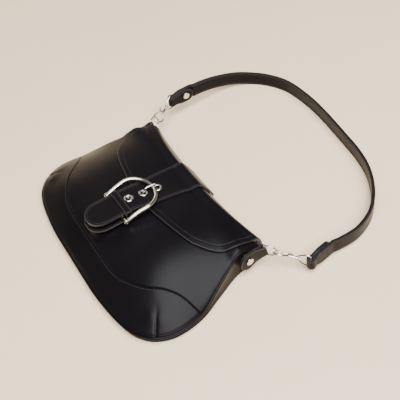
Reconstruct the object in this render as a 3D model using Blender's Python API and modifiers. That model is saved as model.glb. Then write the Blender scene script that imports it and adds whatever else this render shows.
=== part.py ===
"""Shoulder bag of smooth leather with a buckled flap, lying on its back with the strap clipped on.

X runs to the right of the bag's front, Y up the bag towards the strap, Z out of the front.
The back panel lies on Z = 0. Lengths are in metres.
"""

import math

import bmesh
import bpy
import numpy as np
from mathutils import Matrix, Vector

# Clearances and thicknesses
gap = 0.0003
axis_weld = 0.000001
leather = 0.0015
lining_cloth = 0.0008
flap_leather = 0.0025

# Bag body
bag_half_width = 0.132
bag_height = 0.153
outline_shares = (
    (0.0, 0.0), (0.31, 0.0), (0.55, 0.016), (0.73, 0.043), (0.85, 0.083), (0.947, 0.16),
    (1.0, 0.285), (0.981, 0.458), (0.9, 0.628), (0.815, 0.81), (0.792, 1.0),
)
edge_height_bottom = 0.0065
edge_height_top = 0.032
edge_rise_start = 0.035
edge_rise_length = 0.09
edge_fall_start = 0.12
edge_fall_length = 0.033
crest_height = 0.0415
dome_reach = 0.08
top_fall = 0.009
top_fall_start = 0.085
top_fall_length = 0.06
belt_dip = 0.002
belt_dip_width = 0.028
belt_dip_start = 0.05
belt_dip_length = 0.04
piping_radius = 0.0015
mouth_back_setback = 0.003
seam_gap = 0.0003
axis_weld = 0.000001
yoke_end_length = 0.004
lining_square_share = 0.62
lining_slack = 0.0008
lining_front_slack = 0.002
lining_floor_slack = 0.002
gusset_rows = 5
seam_shares = (
    (0.0, 0.15), (0.38, 0.157), (0.545, 0.2), (0.667, 0.265), (0.745, 0.34), (0.845, 0.41), (0.981, 0.458),
)

# Fold of the flap over the mouth
fold_middle_y = 0.1425
fold_corner_rise = 0.0135
fold_middle_z = 0.033
fold_corner_drop = 0.0115
fold_side_setback = 0.002544
fold_front_setback = 0.0125
flap_front_start_share = 1.5
front_edge_setback = 0.0075
flap_lift = 0.0006
flap_hinge_half_width = 0.1
hinge_clearance = 0.0009
flap_side_shares = ((1.0, 0.0), (1.006, 0.15), (0.985, 0.3), (0.931, 0.48), (0.875, 0.595))
flap_low_shares = (
    (0.875, 0.595), (0.814, 0.683), (0.735, 0.775), (0.578, 0.867), (0.441, 0.922), (0.2, 0.99), (0.0, 1.014),
)
flap_drop = 0.0545
flap_bulge = 0.0015
flap_profile_steps = 14

# Closure belt, its tab and keeper
belt_leather = 0.0022
belt_half_width_top = 0.0202
belt_half_width_keeper = 0.0158
belt_tip_y = 0.0255
belt_back_y_share = 0.3
belt_flat_height = 0.048
belt_leave_y = 0.102
belt_flat_y = 0.064
tip_start_angle = math.radians(12)
tab_leather = 0.0018
tab_half_width = 0.0174
tab_bottom_height = 0.0412
tab_top_y = 0.0665
tab_tip_y = 0.0235
keeper_leather = 0.0011
keeper_low_y = 0.06
keeper_length = 0.0065

# Buckle
bar_y = 0.0575
bar_radius = 0.0011
prong_knuckle_radius = 0.002
prong_knuckle_half_length = 0.0017
frame_half_width = 0.0226
frame_foot_half_width = 0.0214
frame_top_y = 0.0988
frame_shoulder_y = 0.079
frame_wire_radius = 0.002
frame_bow = 0.0042
frame_knuckle_radius = 0.0027
frame_knuckle_length = 0.0036
bore_clearance = 0.00015
prong_radius = 0.0009
prong_dip_share = 1.5
prong_root_share = 0.8
prong_tip_overhang = 0.0022
loop_leather = 0.0008
loop_length = 0.009
loop_inner_x = 0.0045

# Eyelets
eyelet_first_y = 0.0717
eyelet_spacing = 0.0156
eyelet_flange_radius = 0.0048
eyelet_hole_radius = 0.0026
eyelet_barrel_wall = 0.0004
eyelet_flange = 0.0006

# Magnetic snap
snap_y = 0.047
snap_radius = 0.008
snap_socket_height = 0.0024
snap_stud_plate = 0.0011
snap_post_radius = 0.0025
snap_post_height = 0.0015
snap_post_clearance = 0.0012
snap_flat_radius = 0.018
snap_flat_power = 6

# Side tabs and rivets
side_tab_low_y = 0.1245
side_tab_high_y = 0.1515
side_tab_low_z = 0.0145
side_tab_high_z = 0.0192
side_tab_leather = 0.0034
side_tab_end_radius = 0.0098
side_tab_fold_half_width = 0.0062
side_tab_standoff = 0.0019
side_tab_fold_radius = 0.003
side_tab_fold_rise = 0.0022
rivet_head_radius = 0.0039
rivet_head_height = 0.0014
rivet_rim_height = 0.0004
rivet_post_radius = 0.0014
rivet_from_tab_end = 0.0105

# D rings
ring_wire_radius = 0.0011
ring_radius = 0.008
ring_leg = 0.005
ring_half_bar = 0.008

# Snap hooks
hook_azimuth = {"left": math.radians(29), "right": math.radians(47)}
hook_elevation = {"left": math.radians(3), "right": math.radians(-12)}
hook_roll = math.radians(45)
hook_play = 0.0009
hook_loop_radius = 0.0055
hook_wire_radius = 0.0013
hook_throat_start = math.radians(-40)
hook_tip_angle = math.radians(105)
gate_arc_start = math.radians(58)
gate_tip_angle = math.radians(96)
hook_barrel_start = 0.0074
hook_barrel_end = 0.0136
hook_barrel_radius = 0.0019
hook_neck_radius = 0.0009
collar_start = 0.0151
collar_length = 0.0024
collar_bore_share = 1.5
collar_radius = 0.0023
swivel_head_length = 0.0013
swivel_head_radius = 0.0016
gate_pivot = (0.0084, 0.0037)
gate_wire_radius = 0.0008
gate_knuckle_radius = 0.0014
gate_layer = 0.0014
gate_pin_radius = 0.0005
gate_pin_head = 0.0009
thumb_reach = (0.0036, 0.0022)
eye_bar_distance = 0.0302
eye_half_width = 0.0082
eye_root_share = 0.8
eye_shoulder_share = 0.6
eye_wire_radius = 0.001

# Shoulder strap
strap_leather = 0.0032
strap_half_width = 0.0088
strap_nose_half_width = 0.0058
strap_loop_half_width = 0.1415
strap_loop_length = 0.158
strap_route_shares = (
    (-0.938, 0.345), (-0.942, 0.56), (-0.92, 0.72), (-0.847, 0.835), (-0.735, 0.92), (-0.56, 0.985),
    (-0.315, 1.0), (-0.08, 0.985), (0.22, 0.945), (0.415, 0.915), (0.583, 0.868), (0.723, 0.8),
    (0.84, 0.715), (0.934, 0.61), (0.994, 0.475), (1.0, 0.345), (0.985, 0.26),
)
strap_end_length = 0.027
strap_clear_share = 1.05
strap_taper_length = 0.012
strap_rivet_distance = 0.0175
strap_rise_length = 0.09

# Fineness of curved surfaces
across = 36
arc_steps = 12
round_sides = 16
wire_sides = 10
weld_share = 0.002
wire_smooth_angle = math.radians(50)
strap_middle_samples = 64
belt_columns = 7
belt_front_rows = 24


def clear_scene():
    for thing in list(bpy.data.objects):
        bpy.data.objects.remove(thing, do_unlink=True)


def make_collection(name, hidden):
    group = bpy.data.collections.new(name)
    bpy.context.scene.collection.children.link(group)
    group.hide_render = hidden
    return group


def make_material(name, colour, roughness, metallic):
    material = bpy.data.materials.new(name)
    material.use_nodes = True
    shader = material.node_tree.nodes["Principled BSDF"]
    shader.inputs["Base Color"].default_value = (*colour, 1.0)
    shader.inputs["Roughness"].default_value = roughness
    shader.inputs["Metallic"].default_value = metallic
    return material


def leather_material(name):
    return make_material(name, (0.018, 0.018, 0.02), 0.42, 0.0)


def metal_material(name):
    return make_material(name, (0.78, 0.77, 0.74), 0.18, 1.0)


def cloth_material(name):
    return make_material(name, (0.03, 0.03, 0.033), 0.85, 0.0)


def smoothstep(value):
    value = min(max(value, 0.0), 1.0)
    return value * value * (3.0 - 2.0 * value)


def spline(points, count):
    """Evenly spaced points on a smooth curve through the given points."""
    points = np.array(points, float)
    before = 2 * points[0] - points[1]
    after = 2 * points[-1] - points[-2]
    whole = np.vstack((before, points, after))
    dense = []
    for index in range(len(points) - 1):
        a, b, c, d = whole[index : index + 4]
        for share in np.linspace(0, 1, arc_steps, endpoint=False):
            dense.append(
                0.5 * (2 * b + (c - a) * share + (2 * a - 5 * b + 4 * c - d) * share**2
                       + (3 * b - a - 3 * c + d) * share**3)
            )
    dense.append(points[-1])
    return resample(np.array(dense), count)


def resample(points, count):
    steps = np.linalg.norm(np.diff(points, axis=0), axis=1)
    along = np.concatenate(([0.0], np.cumsum(steps)))
    places = np.linspace(0, along[-1], count)
    return np.stack([np.interp(places, along, points[:, axis]) for axis in range(points.shape[1])], 1)


def half_outline(y_end, count):
    """The right half of the bag's outline, from the bottom's middle up to the height y_end."""
    sizes = np.array((bag_half_width, bag_height))
    curve = spline(np.array(outline_shares) * sizes, len(outline_shares) * arc_steps)
    curve[:, 1] = np.maximum(curve[:, 1], 0.0)
    kept = curve[curve[:, 1] <= y_end]
    last = (np.interp(y_end, curve[:, 1], curve[:, 0]), y_end)
    return resample(np.vstack((kept, last)), count)


OUTLINE = half_outline(bag_height, len(outline_shares) * arc_steps)


def half_width(y):
    return float(np.interp(y, OUTLINE[:, 1], OUTLINE[:, 0]))


fold_half_width = half_width(bag_height) - fold_side_setback


def edge_height(y):
    """Height of the piped seam that joins the front to the gusset."""
    rise = smoothstep((y - edge_rise_start) / edge_rise_length)
    fall = smoothstep((y - edge_fall_start) / edge_fall_length)
    return edge_height_bottom + (edge_height_top - edge_height_bottom) * rise - fold_corner_drop * fall


def dome_height(x, y):
    """Outer surface of the domed front, without the flat seat of the snap."""
    base = edge_height(y) + piping_radius + gap + leather
    from_side = min(max((half_width(y) - abs(x)) / dome_reach, 0.0), 1.0)
    from_bottom = min(max(y / dome_reach, 0.0), 1.0)
    rise = (1 - (1 - from_side) ** 2) * (1 - (1 - from_bottom) ** 2)
    fall = max((y - top_fall_start) / top_fall_length, 0.0) ** 2
    crest = crest_height - top_fall * fall
    dip = belt_dip * math.exp(-((x / belt_dip_width) ** 2))
    dip *= smoothstep((y - belt_dip_start) / belt_dip_length)
    return base + rise * (crest - base) - dip


def front_height(x, y):
    """Outer surface of the front, flat round the snap."""
    height = dome_height(x, y)
    from_snap = math.hypot(x, y - snap_y) / snap_flat_radius
    flat = math.exp(-(from_snap**snap_flat_power))
    return height + (snap_seat_height() - height) * flat


def snap_seat_height():
    return tab_bottom_height - gap - snap_stud_plate - gap - snap_socket_height - gap


def fold_point(x):
    """Outermost line of the fold where the flap turns over the mouth."""
    share = (x / fold_half_width) ** 2
    return fold_middle_y + fold_corner_rise * share, fold_middle_z - fold_corner_drop * share


def add_mesh(name, bm, material, group):
    bmesh.ops.recalc_face_normals(bm, faces=bm.faces)
    mesh = bpy.data.meshes.new(name)
    bm.to_mesh(mesh)
    bm.free()
    thing = bpy.data.objects.new(name, mesh)
    if material:
        mesh.materials.append(material)
    group.objects.link(thing)
    return thing


def smooth(thing, angle=math.radians(35)):
    for face in thing.data.polygons:
        face.use_smooth = True
    thing.data.set_sharp_from_angle(angle=angle)


def sheet(name, rows, thickness, outward, material, group, closed=False, floor_face=False):
    """A skin through rows of points, thickened to the side that outward points to."""
    bm = bmesh.new()
    grid = [[bm.verts.new(point) for point in row] for row in rows]
    columns = len(grid[0])
    for low, high in zip(grid, grid[1:]):
        for index in range(columns if closed else columns - 1):
            after = (index + 1) % columns
            bm.faces.new((low[index], low[after], high[after], high[index]))
    if floor_face:
        bm.faces.new(grid[0])
    bmesh.ops.recalc_face_normals(bm, faces=bm.faces)
    bm.normal_update()
    middle = bm.faces[:][-1 if floor_face else len(bm.faces) // 2]
    if middle.normal.dot(Vector(outward(middle.calc_center_median()))) < 0:
        bmesh.ops.reverse_faces(bm, faces=bm.faces)
    mesh = bpy.data.meshes.new(name)
    bm.to_mesh(mesh)
    bm.free()
    thing = bpy.data.objects.new(name, mesh)
    mesh.materials.append(material)
    group.objects.link(thing)
    skin = thing.modifiers.new("Thickness", "SOLIDIFY")
    skin.thickness = thickness
    skin.offset = 1.0
    skin.use_even_offset = True
    smooth(thing)
    return thing


def blend_patch(low, high, left, right):
    """Rows of points inside four edges; low and high run left to right, left and right run upwards."""
    rows = []
    for j, v in enumerate(np.linspace(0, 1, len(left))):
        row = []
        for i, u in enumerate(np.linspace(0, 1, len(low))):
            ruled = (1 - v) * low[i] + v * high[i] + (1 - u) * left[j] + u * right[j]
            corners = (1 - v) * ((1 - u) * low[0] + u * low[-1]) + v * ((1 - u) * high[0] + u * high[-1])
            row.append(ruled - corners)
        rows.append(row)
    return rows


def mirrored(half):
    """A half curve that starts at the middle, made whole from left to right."""
    left = half[::-1] * np.array((-1.0, 1.0))
    return np.vstack((left[:-1], half))


def curve_line(data, points, cyclic):
    line = data.splines.new("POLY")
    line.points.add(len(points) - 1)
    for spot, point in zip(line.points, points):
        spot.co = (*point, 1.0)
    line.use_cyclic_u = cyclic


def curve_as_mesh(name, data, weld, material, group):
    """Turns a curve into a closed mesh object, its caps welded to its sides."""
    guide = bpy.data.objects.new(name + "_curve", data)
    group.objects.link(guide)
    bpy.context.view_layer.update()
    mesh = bpy.data.meshes.new_from_object(guide.evaluated_get(bpy.context.evaluated_depsgraph_get()))
    bpy.data.objects.remove(guide)
    bm = bmesh.new()
    bm.from_mesh(mesh)
    bpy.data.meshes.remove(mesh)
    bmesh.ops.remove_doubles(bm, verts=bm.verts, dist=weld)
    return add_mesh(name, bm, material, group)


def tube(name, points, radius, material, group, cyclic=False):
    """A round wire along the points."""
    data = bpy.data.curves.new(name, "CURVE")
    data.dimensions = "3D"
    data.bevel_depth = radius
    data.bevel_resolution = (wire_sides - 4) // 2
    data.use_fill_caps = True
    curve_line(data, points, cyclic)
    thing = curve_as_mesh(name, data, radius * weld_share, material, group)
    smooth(thing, wire_smooth_angle)
    return thing


def rod(name, radius, start, end, material, group, sides=round_sides):
    """A solid cylinder between two points."""
    start = Vector(start)
    span = Vector(end) - start
    bm = bmesh.new()
    bmesh.ops.create_cone(bm, cap_ends=True, segments=sides, radius1=radius, radius2=radius,
                          depth=span.length)
    turn = span.to_track_quat("Z", "Y").to_matrix().to_4x4()
    bmesh.ops.transform(bm, matrix=Matrix.Translation(start + span / 2) @ turn, verts=bm.verts)
    thing = add_mesh(name, bm, material, group)
    smooth(thing)
    return thing


def block(name, low, high, material, group):
    low, high = Vector(low), Vector(high)
    bm = bmesh.new()
    bmesh.ops.create_cube(bm, size=1.0)
    size = Matrix.Diagonal((*(high - low), 1.0))
    bmesh.ops.transform(bm, matrix=Matrix.Translation((low + high) / 2) @ size, verts=bm.verts)
    return add_mesh(name, bm, material, group)


def turned(name, profile, material, group, sides=round_sides):
    """A shape turned about Z from a profile of radius and height pairs, running down its outer side."""
    bm = bmesh.new()
    places = [bm.verts.new((radius, 0.0, height)) for radius, height in profile]
    for first, second in zip(places, places[1:]):
        bm.edges.new((first, second))
    thing = add_mesh(name, bm, material, group)
    spin = thing.modifiers.new("Turn", "SCREW")
    spin.steps = sides
    spin.render_steps = sides
    spin.use_merge_vertices = True
    spin.merge_threshold = axis_weld
    spin.use_smooth_shade = True
    return thing


def plate(name, outline, thickness, material, group):
    """A flat plate of the outline, from Z = 0 up to the thickness."""
    data = bpy.data.curves.new(name, "CURVE")
    data.dimensions = "2D"
    data.fill_mode = "BOTH"
    data.extrude = thickness / 2
    curve_line(data, [(x, y, 0.0) for x, y in outline], True)
    thing = curve_as_mesh(name, data, thickness * weld_share, material, group)
    place(thing, Matrix.Translation((0, 0, thickness / 2)))
    smooth(thing)
    return thing


def apply_modifiers(thing):
    """Turns the shown shape, modifiers included, into the object's own mesh."""
    bpy.context.view_layer.update()
    shown = thing.evaluated_get(bpy.context.evaluated_depsgraph_get())
    mesh = bpy.data.meshes.new_from_object(shown)
    thing.modifiers.clear()
    thing.data = mesh


def combine(thing, other, operation):
    """Unites the other mesh with this one, or cuts it away, and removes the other."""
    change = thing.modifiers.new("Combine", "BOOLEAN")
    change.operation = operation
    change.solver = "EXACT"
    change.object = other
    apply_modifiers(thing)
    bpy.data.objects.remove(other)


def place(thing, matrix):
    """Moves a mesh by the matrix, keeping the object's own origin at the world's."""
    thing.data.transform(matrix)


def frame_matrix(origin, x_axis, y_axis, z_axis):
    columns = (Vector(x_axis).to_4d(), Vector(y_axis).to_4d(), Vector(z_axis).to_4d(), Vector(origin).to_4d())
    matrix = Matrix(columns).transposed()
    matrix[3] = (0.0, 0.0, 0.0, 1.0)
    return matrix


# Bag body


def up(_):
    return Vector((0, 0, 1))


def down(_):
    return Vector((0, 0, -1))


def inward_flat(point):
    return Vector((-point.x, bag_height / 2 - point.y, 0))


def front_top_y(x):
    """Top edge of the front, under the flap."""
    reach = min(abs(x), half_width(bag_height))
    return fold_point(reach)[0] - front_edge_setback


def make_back_panel(look, group):
    outline = mirrored(half_outline(bag_height, across))
    return plate("back_panel", outline, leather, look, group)


def make_gusset(look, group):
    low_z = leather + gap
    back_y = bag_height - mouth_back_setback
    front_y = front_top_y(bag_half_width)
    rows = []
    for share in np.linspace(0, 1, gusset_rows):
        row = []
        for x, y in mirrored(half_outline(back_y + (front_y - back_y) * share, across)):
            high_z = edge_height(y) - piping_radius - gap
            row.append((x, y, low_z + (high_z - low_z) * share))
        rows.append(row)
    gusset = sheet("gusset", rows, leather, inward_flat, look, group)
    apply_modifiers(gusset)
    for side in side_sign.values():
        matrix = side_tab_frame(side)[0]
        heights = (-side_tab_leather, side_tab_leather)
        ends = [matrix @ Vector((rivet_from_tab_end, 0, height)) for height in heights]
        combine(gusset, rod("hole", rivet_post_radius + gap, *ends, look, group), "DIFFERENCE")
    return gusset


def make_piping(look, group):
    curve = mirrored(half_outline(front_top_y(bag_half_width), across))
    points = [(x, y, edge_height(y)) for x, y in curve]
    return tube("piping", points, piping_radius, look, group)


def seam_curve(shift):
    """Seam between the front panel and its yoke, moved up or down by the shift."""
    sizes = np.array((bag_half_width, bag_height))
    half = spline(np.array(seam_shares) * sizes, across // 2)
    half[:, 1] += shift
    half[-1, 0] = half_width(half[-1, 1])
    return mirrored(half)


def side_curve(y_start, y_end, count):
    between = OUTLINE[(OUTLINE[:, 1] > y_start) & (OUTLINE[:, 1] < y_end)]
    first = (half_width(y_start), y_start)
    last = (half_width(y_end), y_end)
    return resample(np.vstack((first, between, last)), count)


def lay_on_front(rows):
    return [[(x, y, front_height(x, y)) for x, y in row] for row in rows]


def make_front_panel(look, group):
    low = seam_curve(seam_gap / 2)
    top_half = half_width(front_top_y(bag_half_width))
    high = np.array([(x, front_top_y(x)) for x in np.linspace(-top_half, top_half, len(low))])
    right = side_curve(low[-1, 1], high[-1, 1], arc_steps)
    left = right * np.array((-1.0, 1.0))
    rows = lay_on_front(blend_patch(low, high, left, right))
    return sheet("front_panel", rows, leather, down, look, group)


def make_front_yoke(look, group):
    high = seam_curve(-seam_gap / 2)
    low = mirrored(half_outline(high[-1, 1] - yoke_end_length, len(high) // 2 + 1))
    rows = [low + (high - low) * share for share in np.linspace(0, 1, arc_steps // 2 + 1)]
    return sheet("front_yoke", lay_on_front(rows), leather, down, look, group)


def squared(value):
    """Pulls a cosine or sine outwards, so that a ring of them has squarer corners."""
    return math.copysign(abs(value) ** lining_square_share, value)


def make_lining(look, group):
    """A bag within the bag: a floor at the bottom, open at the mouth."""
    wall = leather + gap
    low_y = edge_height_bottom + wall + lining_floor_slack
    back_top = bag_height - mouth_back_setback
    rows = []
    for share in np.linspace(0, 1, arc_steps):
        row = []
        for step in range(across):
            angle = 2 * math.pi * step / across
            across_share = squared(math.cos(angle))
            high_share = (1 + squared(math.sin(angle))) / 2
            front_top = front_top_y(across_share * half_width(back_top)) - leather
            y = low_y + (back_top + (front_top - back_top) * high_share - low_y) * share
            inner_half = min(half_width(y), half_width(y - wall)) - wall - lining_slack
            x = across_share * inner_half
            high_z = min(dome_height(x, y), front_height(x, y)) - wall - lining_front_slack
            row.append((x, y, wall + (high_z - wall) * high_share))
        rows.append(row)
    return sheet("lining", rows, lining_cloth, lambda _: Vector((0, 1, 0)), look, group,
                 closed=True, floor_face=True)


# Flap and closure belt


def flap_profile(x, lift):
    """Inner line of the flap over the mouth at one place across, raised by lift along its normal."""
    fold_y, fold_z = fold_point(x)
    front_y = fold_y - fold_front_setback
    fold_y -= flap_leather
    front_z = front_height(x, front_y) + flap_lift
    next_y = front_y - fold_front_setback * (flap_front_start_share - 1)
    next_z = front_height(x, next_y) + flap_lift
    hinge_y = bag_height + hinge_clearance
    points = [
        (hinge_y, gap),
        ((hinge_y + fold_y) / 2 + flap_bulge, fold_z / 2),
        (fold_y, fold_z),
        ((fold_y + front_y) / 2 + flap_bulge, (fold_z + front_z) / 2 + flap_bulge),
        (front_y, front_z),
        (next_y, next_z),
    ]
    curve = spline(points, flap_profile_steps)
    slopes = np.gradient(curve, axis=0)
    slopes /= np.linalg.norm(slopes, axis=1)[:, None]
    normals = np.stack((slopes[:, 1], -slopes[:, 0]), 1)
    return curve + normals * lift


def flap_height(x, y, lift):
    """Inner surface of the flap over the front, raised by lift along its normal."""
    step = leather
    slope_x = (front_height(x + step, y) - front_height(x - step, y)) / (2 * step)
    slope_y = (front_height(x, y + step) - front_height(x, y - step)) / (2 * step)
    return front_height(x, y) + flap_lift + lift * math.sqrt(1 + slope_x**2 + slope_y**2)


def flap_edges():
    """Side and lower edges of the flap's front, right half, each as points of X and Y."""
    top_y = fold_point(fold_half_width)[0] - fold_front_setback * flap_front_start_share
    side = np.array([(fold_half_width * a, top_y - flap_drop * b) for a, b in flap_side_shares])
    low = np.array([(fold_half_width * a, top_y - flap_drop * b) for a, b in flap_low_shares])
    return spline(side, arc_steps)[::-1], spline(low, across // 2 + 1)[::-1]


def flap_outward(point):
    return Vector((0, point.y - bag_height / 2, point.z + bag_height / 8))


def make_flap(look, group):
    right, low_half = flap_edges()
    left = right * np.array((-1.0, 1.0))
    low = mirrored(low_half)
    places = np.linspace(-fold_half_width, fold_half_width, len(low))
    profiles = [flap_profile(x, 0.0) for x in places]
    high = np.array([(x, profile[-1][0]) for x, profile in zip(places, profiles)])
    patch = blend_patch(low, high, left, right)[:-1]
    rows = [[(x, y, flap_height(x, y, 0.0)) for x, y in row] for row in patch]
    for step in range(flap_profile_steps - 1, -1, -1):
        width = flap_hinge_half_width + (fold_half_width - flap_hinge_half_width) * step / flap_profile_steps
        narrow = width / fold_half_width
        rows.append([(x * narrow, *profile[step]) for x, profile in zip(places, profiles)])
    return sheet("flap", rows, flap_leather, flap_outward, look, group)


def belt_half_width(y):
    share = (y - keeper_low_y) / (fold_middle_y - keeper_low_y)
    return belt_half_width_keeper + (belt_half_width_top - belt_half_width_keeper) * smoothstep(share)


def belt_height(x, y):
    """Inner surface of the closure belt: on the flap above, flat over the buckle's tab below."""
    on_flap = flap_height(x, y, flap_leather) + gap
    share = smoothstep((belt_leave_y - y) / (belt_leave_y - belt_flat_y))
    return on_flap + (belt_flat_height - on_flap) * share


def round_end(tip_y, half):
    """Places up the round end of a strap, each as Y and half width, from the tip."""
    angles = np.linspace(tip_start_angle, math.pi / 2, arc_steps // 2 + 1)
    return [(tip_y + half * (1 - math.cos(angle)), half * math.sin(angle)) for angle in angles]


def eyelet_places():
    return [eyelet_first_y + eyelet_spacing * index for index in range(3)]


def eyelet_frame(y):
    """On the belt's inner surface, tilted with the belt."""
    slope = (belt_height(0, y + leather) - belt_height(0, y - leather)) / (2 * leather)
    return Matrix.Translation((0, y, belt_height(0, y))) @ Matrix.Rotation(math.atan(slope), 4, "X")


def make_closure_belt(look, group):
    shares = np.linspace(-1, 1, belt_columns)
    first = int(flap_profile_steps * belt_back_y_share)
    rows = []
    for step in range(first, flap_profile_steps):
        places = [share * belt_half_width_top for share in shares]
        rows.append([(x, *flap_profile(x, flap_leather + gap)[step]) for x in places])
    start_y = min(point[1] for point in rows[-1])
    tip = round_end(belt_tip_y, belt_half_width_keeper)[::-1]
    for y in np.linspace(start_y, tip[0][0], belt_front_rows)[1:-1]:
        places = [share * belt_half_width(y) for share in shares]
        rows.append([(x, y, belt_height(x, y)) for x in places])
    for y, half in tip:
        rows.append([(share * half, y, belt_height(share * half, y)) for share in shares])
    belt = sheet("closure_belt", rows, belt_leather, flap_outward, look, group)
    apply_modifiers(belt)
    for y in eyelet_places():
        hole = eyelet_hole_radius + eyelet_barrel_wall + gap
        cut = rod("hole", hole, (0, 0, -belt_leather), (0, 0, belt_leather * 2), look, group)
        place(cut, eyelet_frame(y))
        combine(belt, cut, "DIFFERENCE")
    return belt


def make_eyelets(look, group):
    low = gap
    top = belt_leather + gap
    inner = eyelet_hole_radius
    outer = inner + eyelet_barrel_wall
    profile = (
        (inner, top + eyelet_flange / 2), ((inner + outer) / 2, top + eyelet_flange),
        ((outer + eyelet_flange_radius) / 2, top + eyelet_flange), (eyelet_flange_radius, top),
        (outer, top), (outer, low), (inner, low), (inner, top + eyelet_flange / 2),
    )
    made = []
    for name, y in zip(("eyelet_lower", "eyelet_middle", "eyelet_upper"), eyelet_places()):
        eyelet = turned(name, profile, look, group)
        apply_modifiers(eyelet)
        place(eyelet, eyelet_frame(y))
        made.append(eyelet)
    return made


def make_buckle_tab(look, group):
    edge = [(half, y) for y, half in round_end(tab_tip_y, tab_half_width)] + [(tab_half_width, tab_top_y)]
    outline = edge + [(-x, y) for x, y in edge[::-1]]
    tab = plate("buckle_tab", outline, tab_leather, look, group)
    place(tab, Matrix.Translation((0, 0, tab_bottom_height)))
    return tab


def tab_top():
    return tab_bottom_height + tab_leather


def make_belt_keeper(look, group):
    """An arch over the belt whose feet stand on the tab."""
    low = tab_top() + gap
    high = belt_flat_height + belt_leather + gap
    reach = belt_half_width(keeper_low_y + keeper_length) + gap
    half = [(0.0, high), (reach, high), (reach + gap * 2, high - gap * 2), (reach + gap * 2, low)]
    arch = [(-x, z) for x, z in half[:0:-1]] + half
    rows = [[(x, y, z) for x, z in arch] for y in np.linspace(keeper_low_y, keeper_low_y + keeper_length, 3)]
    return sheet("belt_keeper", rows, keeper_leather, up, look, group)


# Buckle


def bar_height():
    return tab_top() + gap + prong_knuckle_radius


def make_buckle_bar(look, group):
    reach = frame_foot_half_width + frame_knuckle_length / 2
    ends = [(x, bar_y, bar_height()) for x in (-reach, reach)]
    return rod("buckle_bar", bar_radius, *ends, look, group)


def make_bar_loops(look, group):
    """Saddles that hold the buckle's bar down on the tab."""
    inner = bar_radius + gap
    foot = tab_top() + gap
    arch = [(bar_y - inner, foot)]
    for angle in np.linspace(math.pi, 0, arc_steps // 2 + 1):
        arch.append((bar_y + inner * math.cos(angle), bar_height() + inner * math.sin(angle)))
    arch.append((bar_y + inner, foot))
    made = []
    for name, side in (("bar_loop_left", -1), ("bar_loop_right", 1)):
        places = (side * loop_inner_x, side * (loop_inner_x + loop_length))
        rows = [[(x, y, z) for y, z in arch] for x in places]
        made.append(sheet(name, rows, loop_leather, up, look, group))
    return made


def frame_arc_height():
    """The arc rests on the upper eyelet's rim."""
    return belt_height(0, frame_top_y) + belt_leather + gap + eyelet_flange + gap + frame_wire_radius


def frame_line():
    """Centre line of the frame from one foot over the arc to the other."""
    rise = frame_top_y - frame_shoulder_y
    half = [(0.0, frame_top_y)]
    for angle in np.linspace(math.pi / 2, 0, arc_steps)[1:]:
        half.append((frame_half_width * math.cos(angle), frame_shoulder_y + rise * math.sin(angle)))
    half.append(((frame_half_width + frame_foot_half_width) / 2, (frame_shoulder_y + bar_y) / 2))
    half.append((frame_foot_half_width, bar_y))
    line = []
    for x, y in mirrored(np.array(half)):
        share = (y - bar_y) / (frame_top_y - bar_y)
        bow = frame_bow * math.sin(math.pi * share)
        line.append((x, y, bar_height() + (frame_arc_height() - bar_height()) * share + bow))
    return line


def make_buckle_frame(look, group):
    frame = tube("buckle_frame", frame_line(), frame_wire_radius, look, group)
    half = frame_knuckle_length / 2
    for side in (-1, 1):
        centre = side * frame_foot_half_width
        ends = [(centre + step, bar_y, bar_height()) for step in (-half, half)]
        combine(frame, rod("knuckle", frame_knuckle_radius, *ends, look, group), "UNION")
    reach = frame_foot_half_width + frame_knuckle_length
    ends = [(x, bar_y, bar_height()) for x in (-reach, reach)]
    combine(frame, rod("bore", bar_radius + bore_clearance, *ends, look, group), "DIFFERENCE")
    smooth(frame, wire_smooth_angle)
    return frame


def make_buckle_prong(look, group):
    """Under the belt, up through its middle eyelet and over the frame's arc."""
    hole_y = eyelet_places()[1]
    low = bar_height()
    dip_y = hole_y - eyelet_hole_radius * prong_dip_share
    skim = flap_height(0, dip_y, flap_leather) + gap + prong_radius
    belt_low = belt_height(0, hole_y)
    arc = frame_arc_height() + frame_wire_radius + gap + prong_radius
    points = (
        (0, bar_y + prong_knuckle_radius * prong_root_share, low),
        (0, (bar_y + dip_y) / 2, low),
        (0, dip_y - eyelet_hole_radius, skim),
        (0, dip_y, skim),
        (0, hole_y - prong_radius / 2, belt_low + prong_radius / 2),
        (0, hole_y + prong_radius, belt_low + belt_leather + eyelet_flange),
        (0, hole_y + prong_radius * 4, arc - prong_radius / 4),
        (0, frame_top_y - frame_wire_radius, arc + prong_radius / 3),
        (0, frame_top_y + prong_tip_overhang, arc - prong_radius / 4),
    )
    prong = tube("buckle_prong", spline(points, arc_steps * 2), prong_radius, look, group)
    half = prong_knuckle_half_length
    ends = [(step, bar_y, low) for step in (-half, half)]
    combine(prong, rod("knuckle", prong_knuckle_radius, *ends, look, group), "UNION")
    ends = [(step * 2, bar_y, low) for step in (-half, half)]
    combine(prong, rod("bore", bar_radius + bore_clearance, *ends, look, group), "DIFFERENCE")
    smooth(prong, wire_smooth_angle)
    return prong


# Magnetic snap


def make_snap_socket(look, group):
    hole = snap_post_radius + snap_post_clearance
    floor = snap_socket_height / 3
    shoulder = snap_radius - snap_socket_height / 4
    profile = (
        (0.0, floor), (hole, floor), (hole, snap_socket_height), (shoulder, snap_socket_height),
        (snap_radius, snap_socket_height * 3 / 4), (snap_radius, 0.0), (0.0, 0.0),
    )
    socket = turned("snap_socket", profile, look, group)
    apply_modifiers(socket)
    place(socket, Matrix.Translation((0, snap_y, snap_seat_height() + gap)))
    return socket


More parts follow.
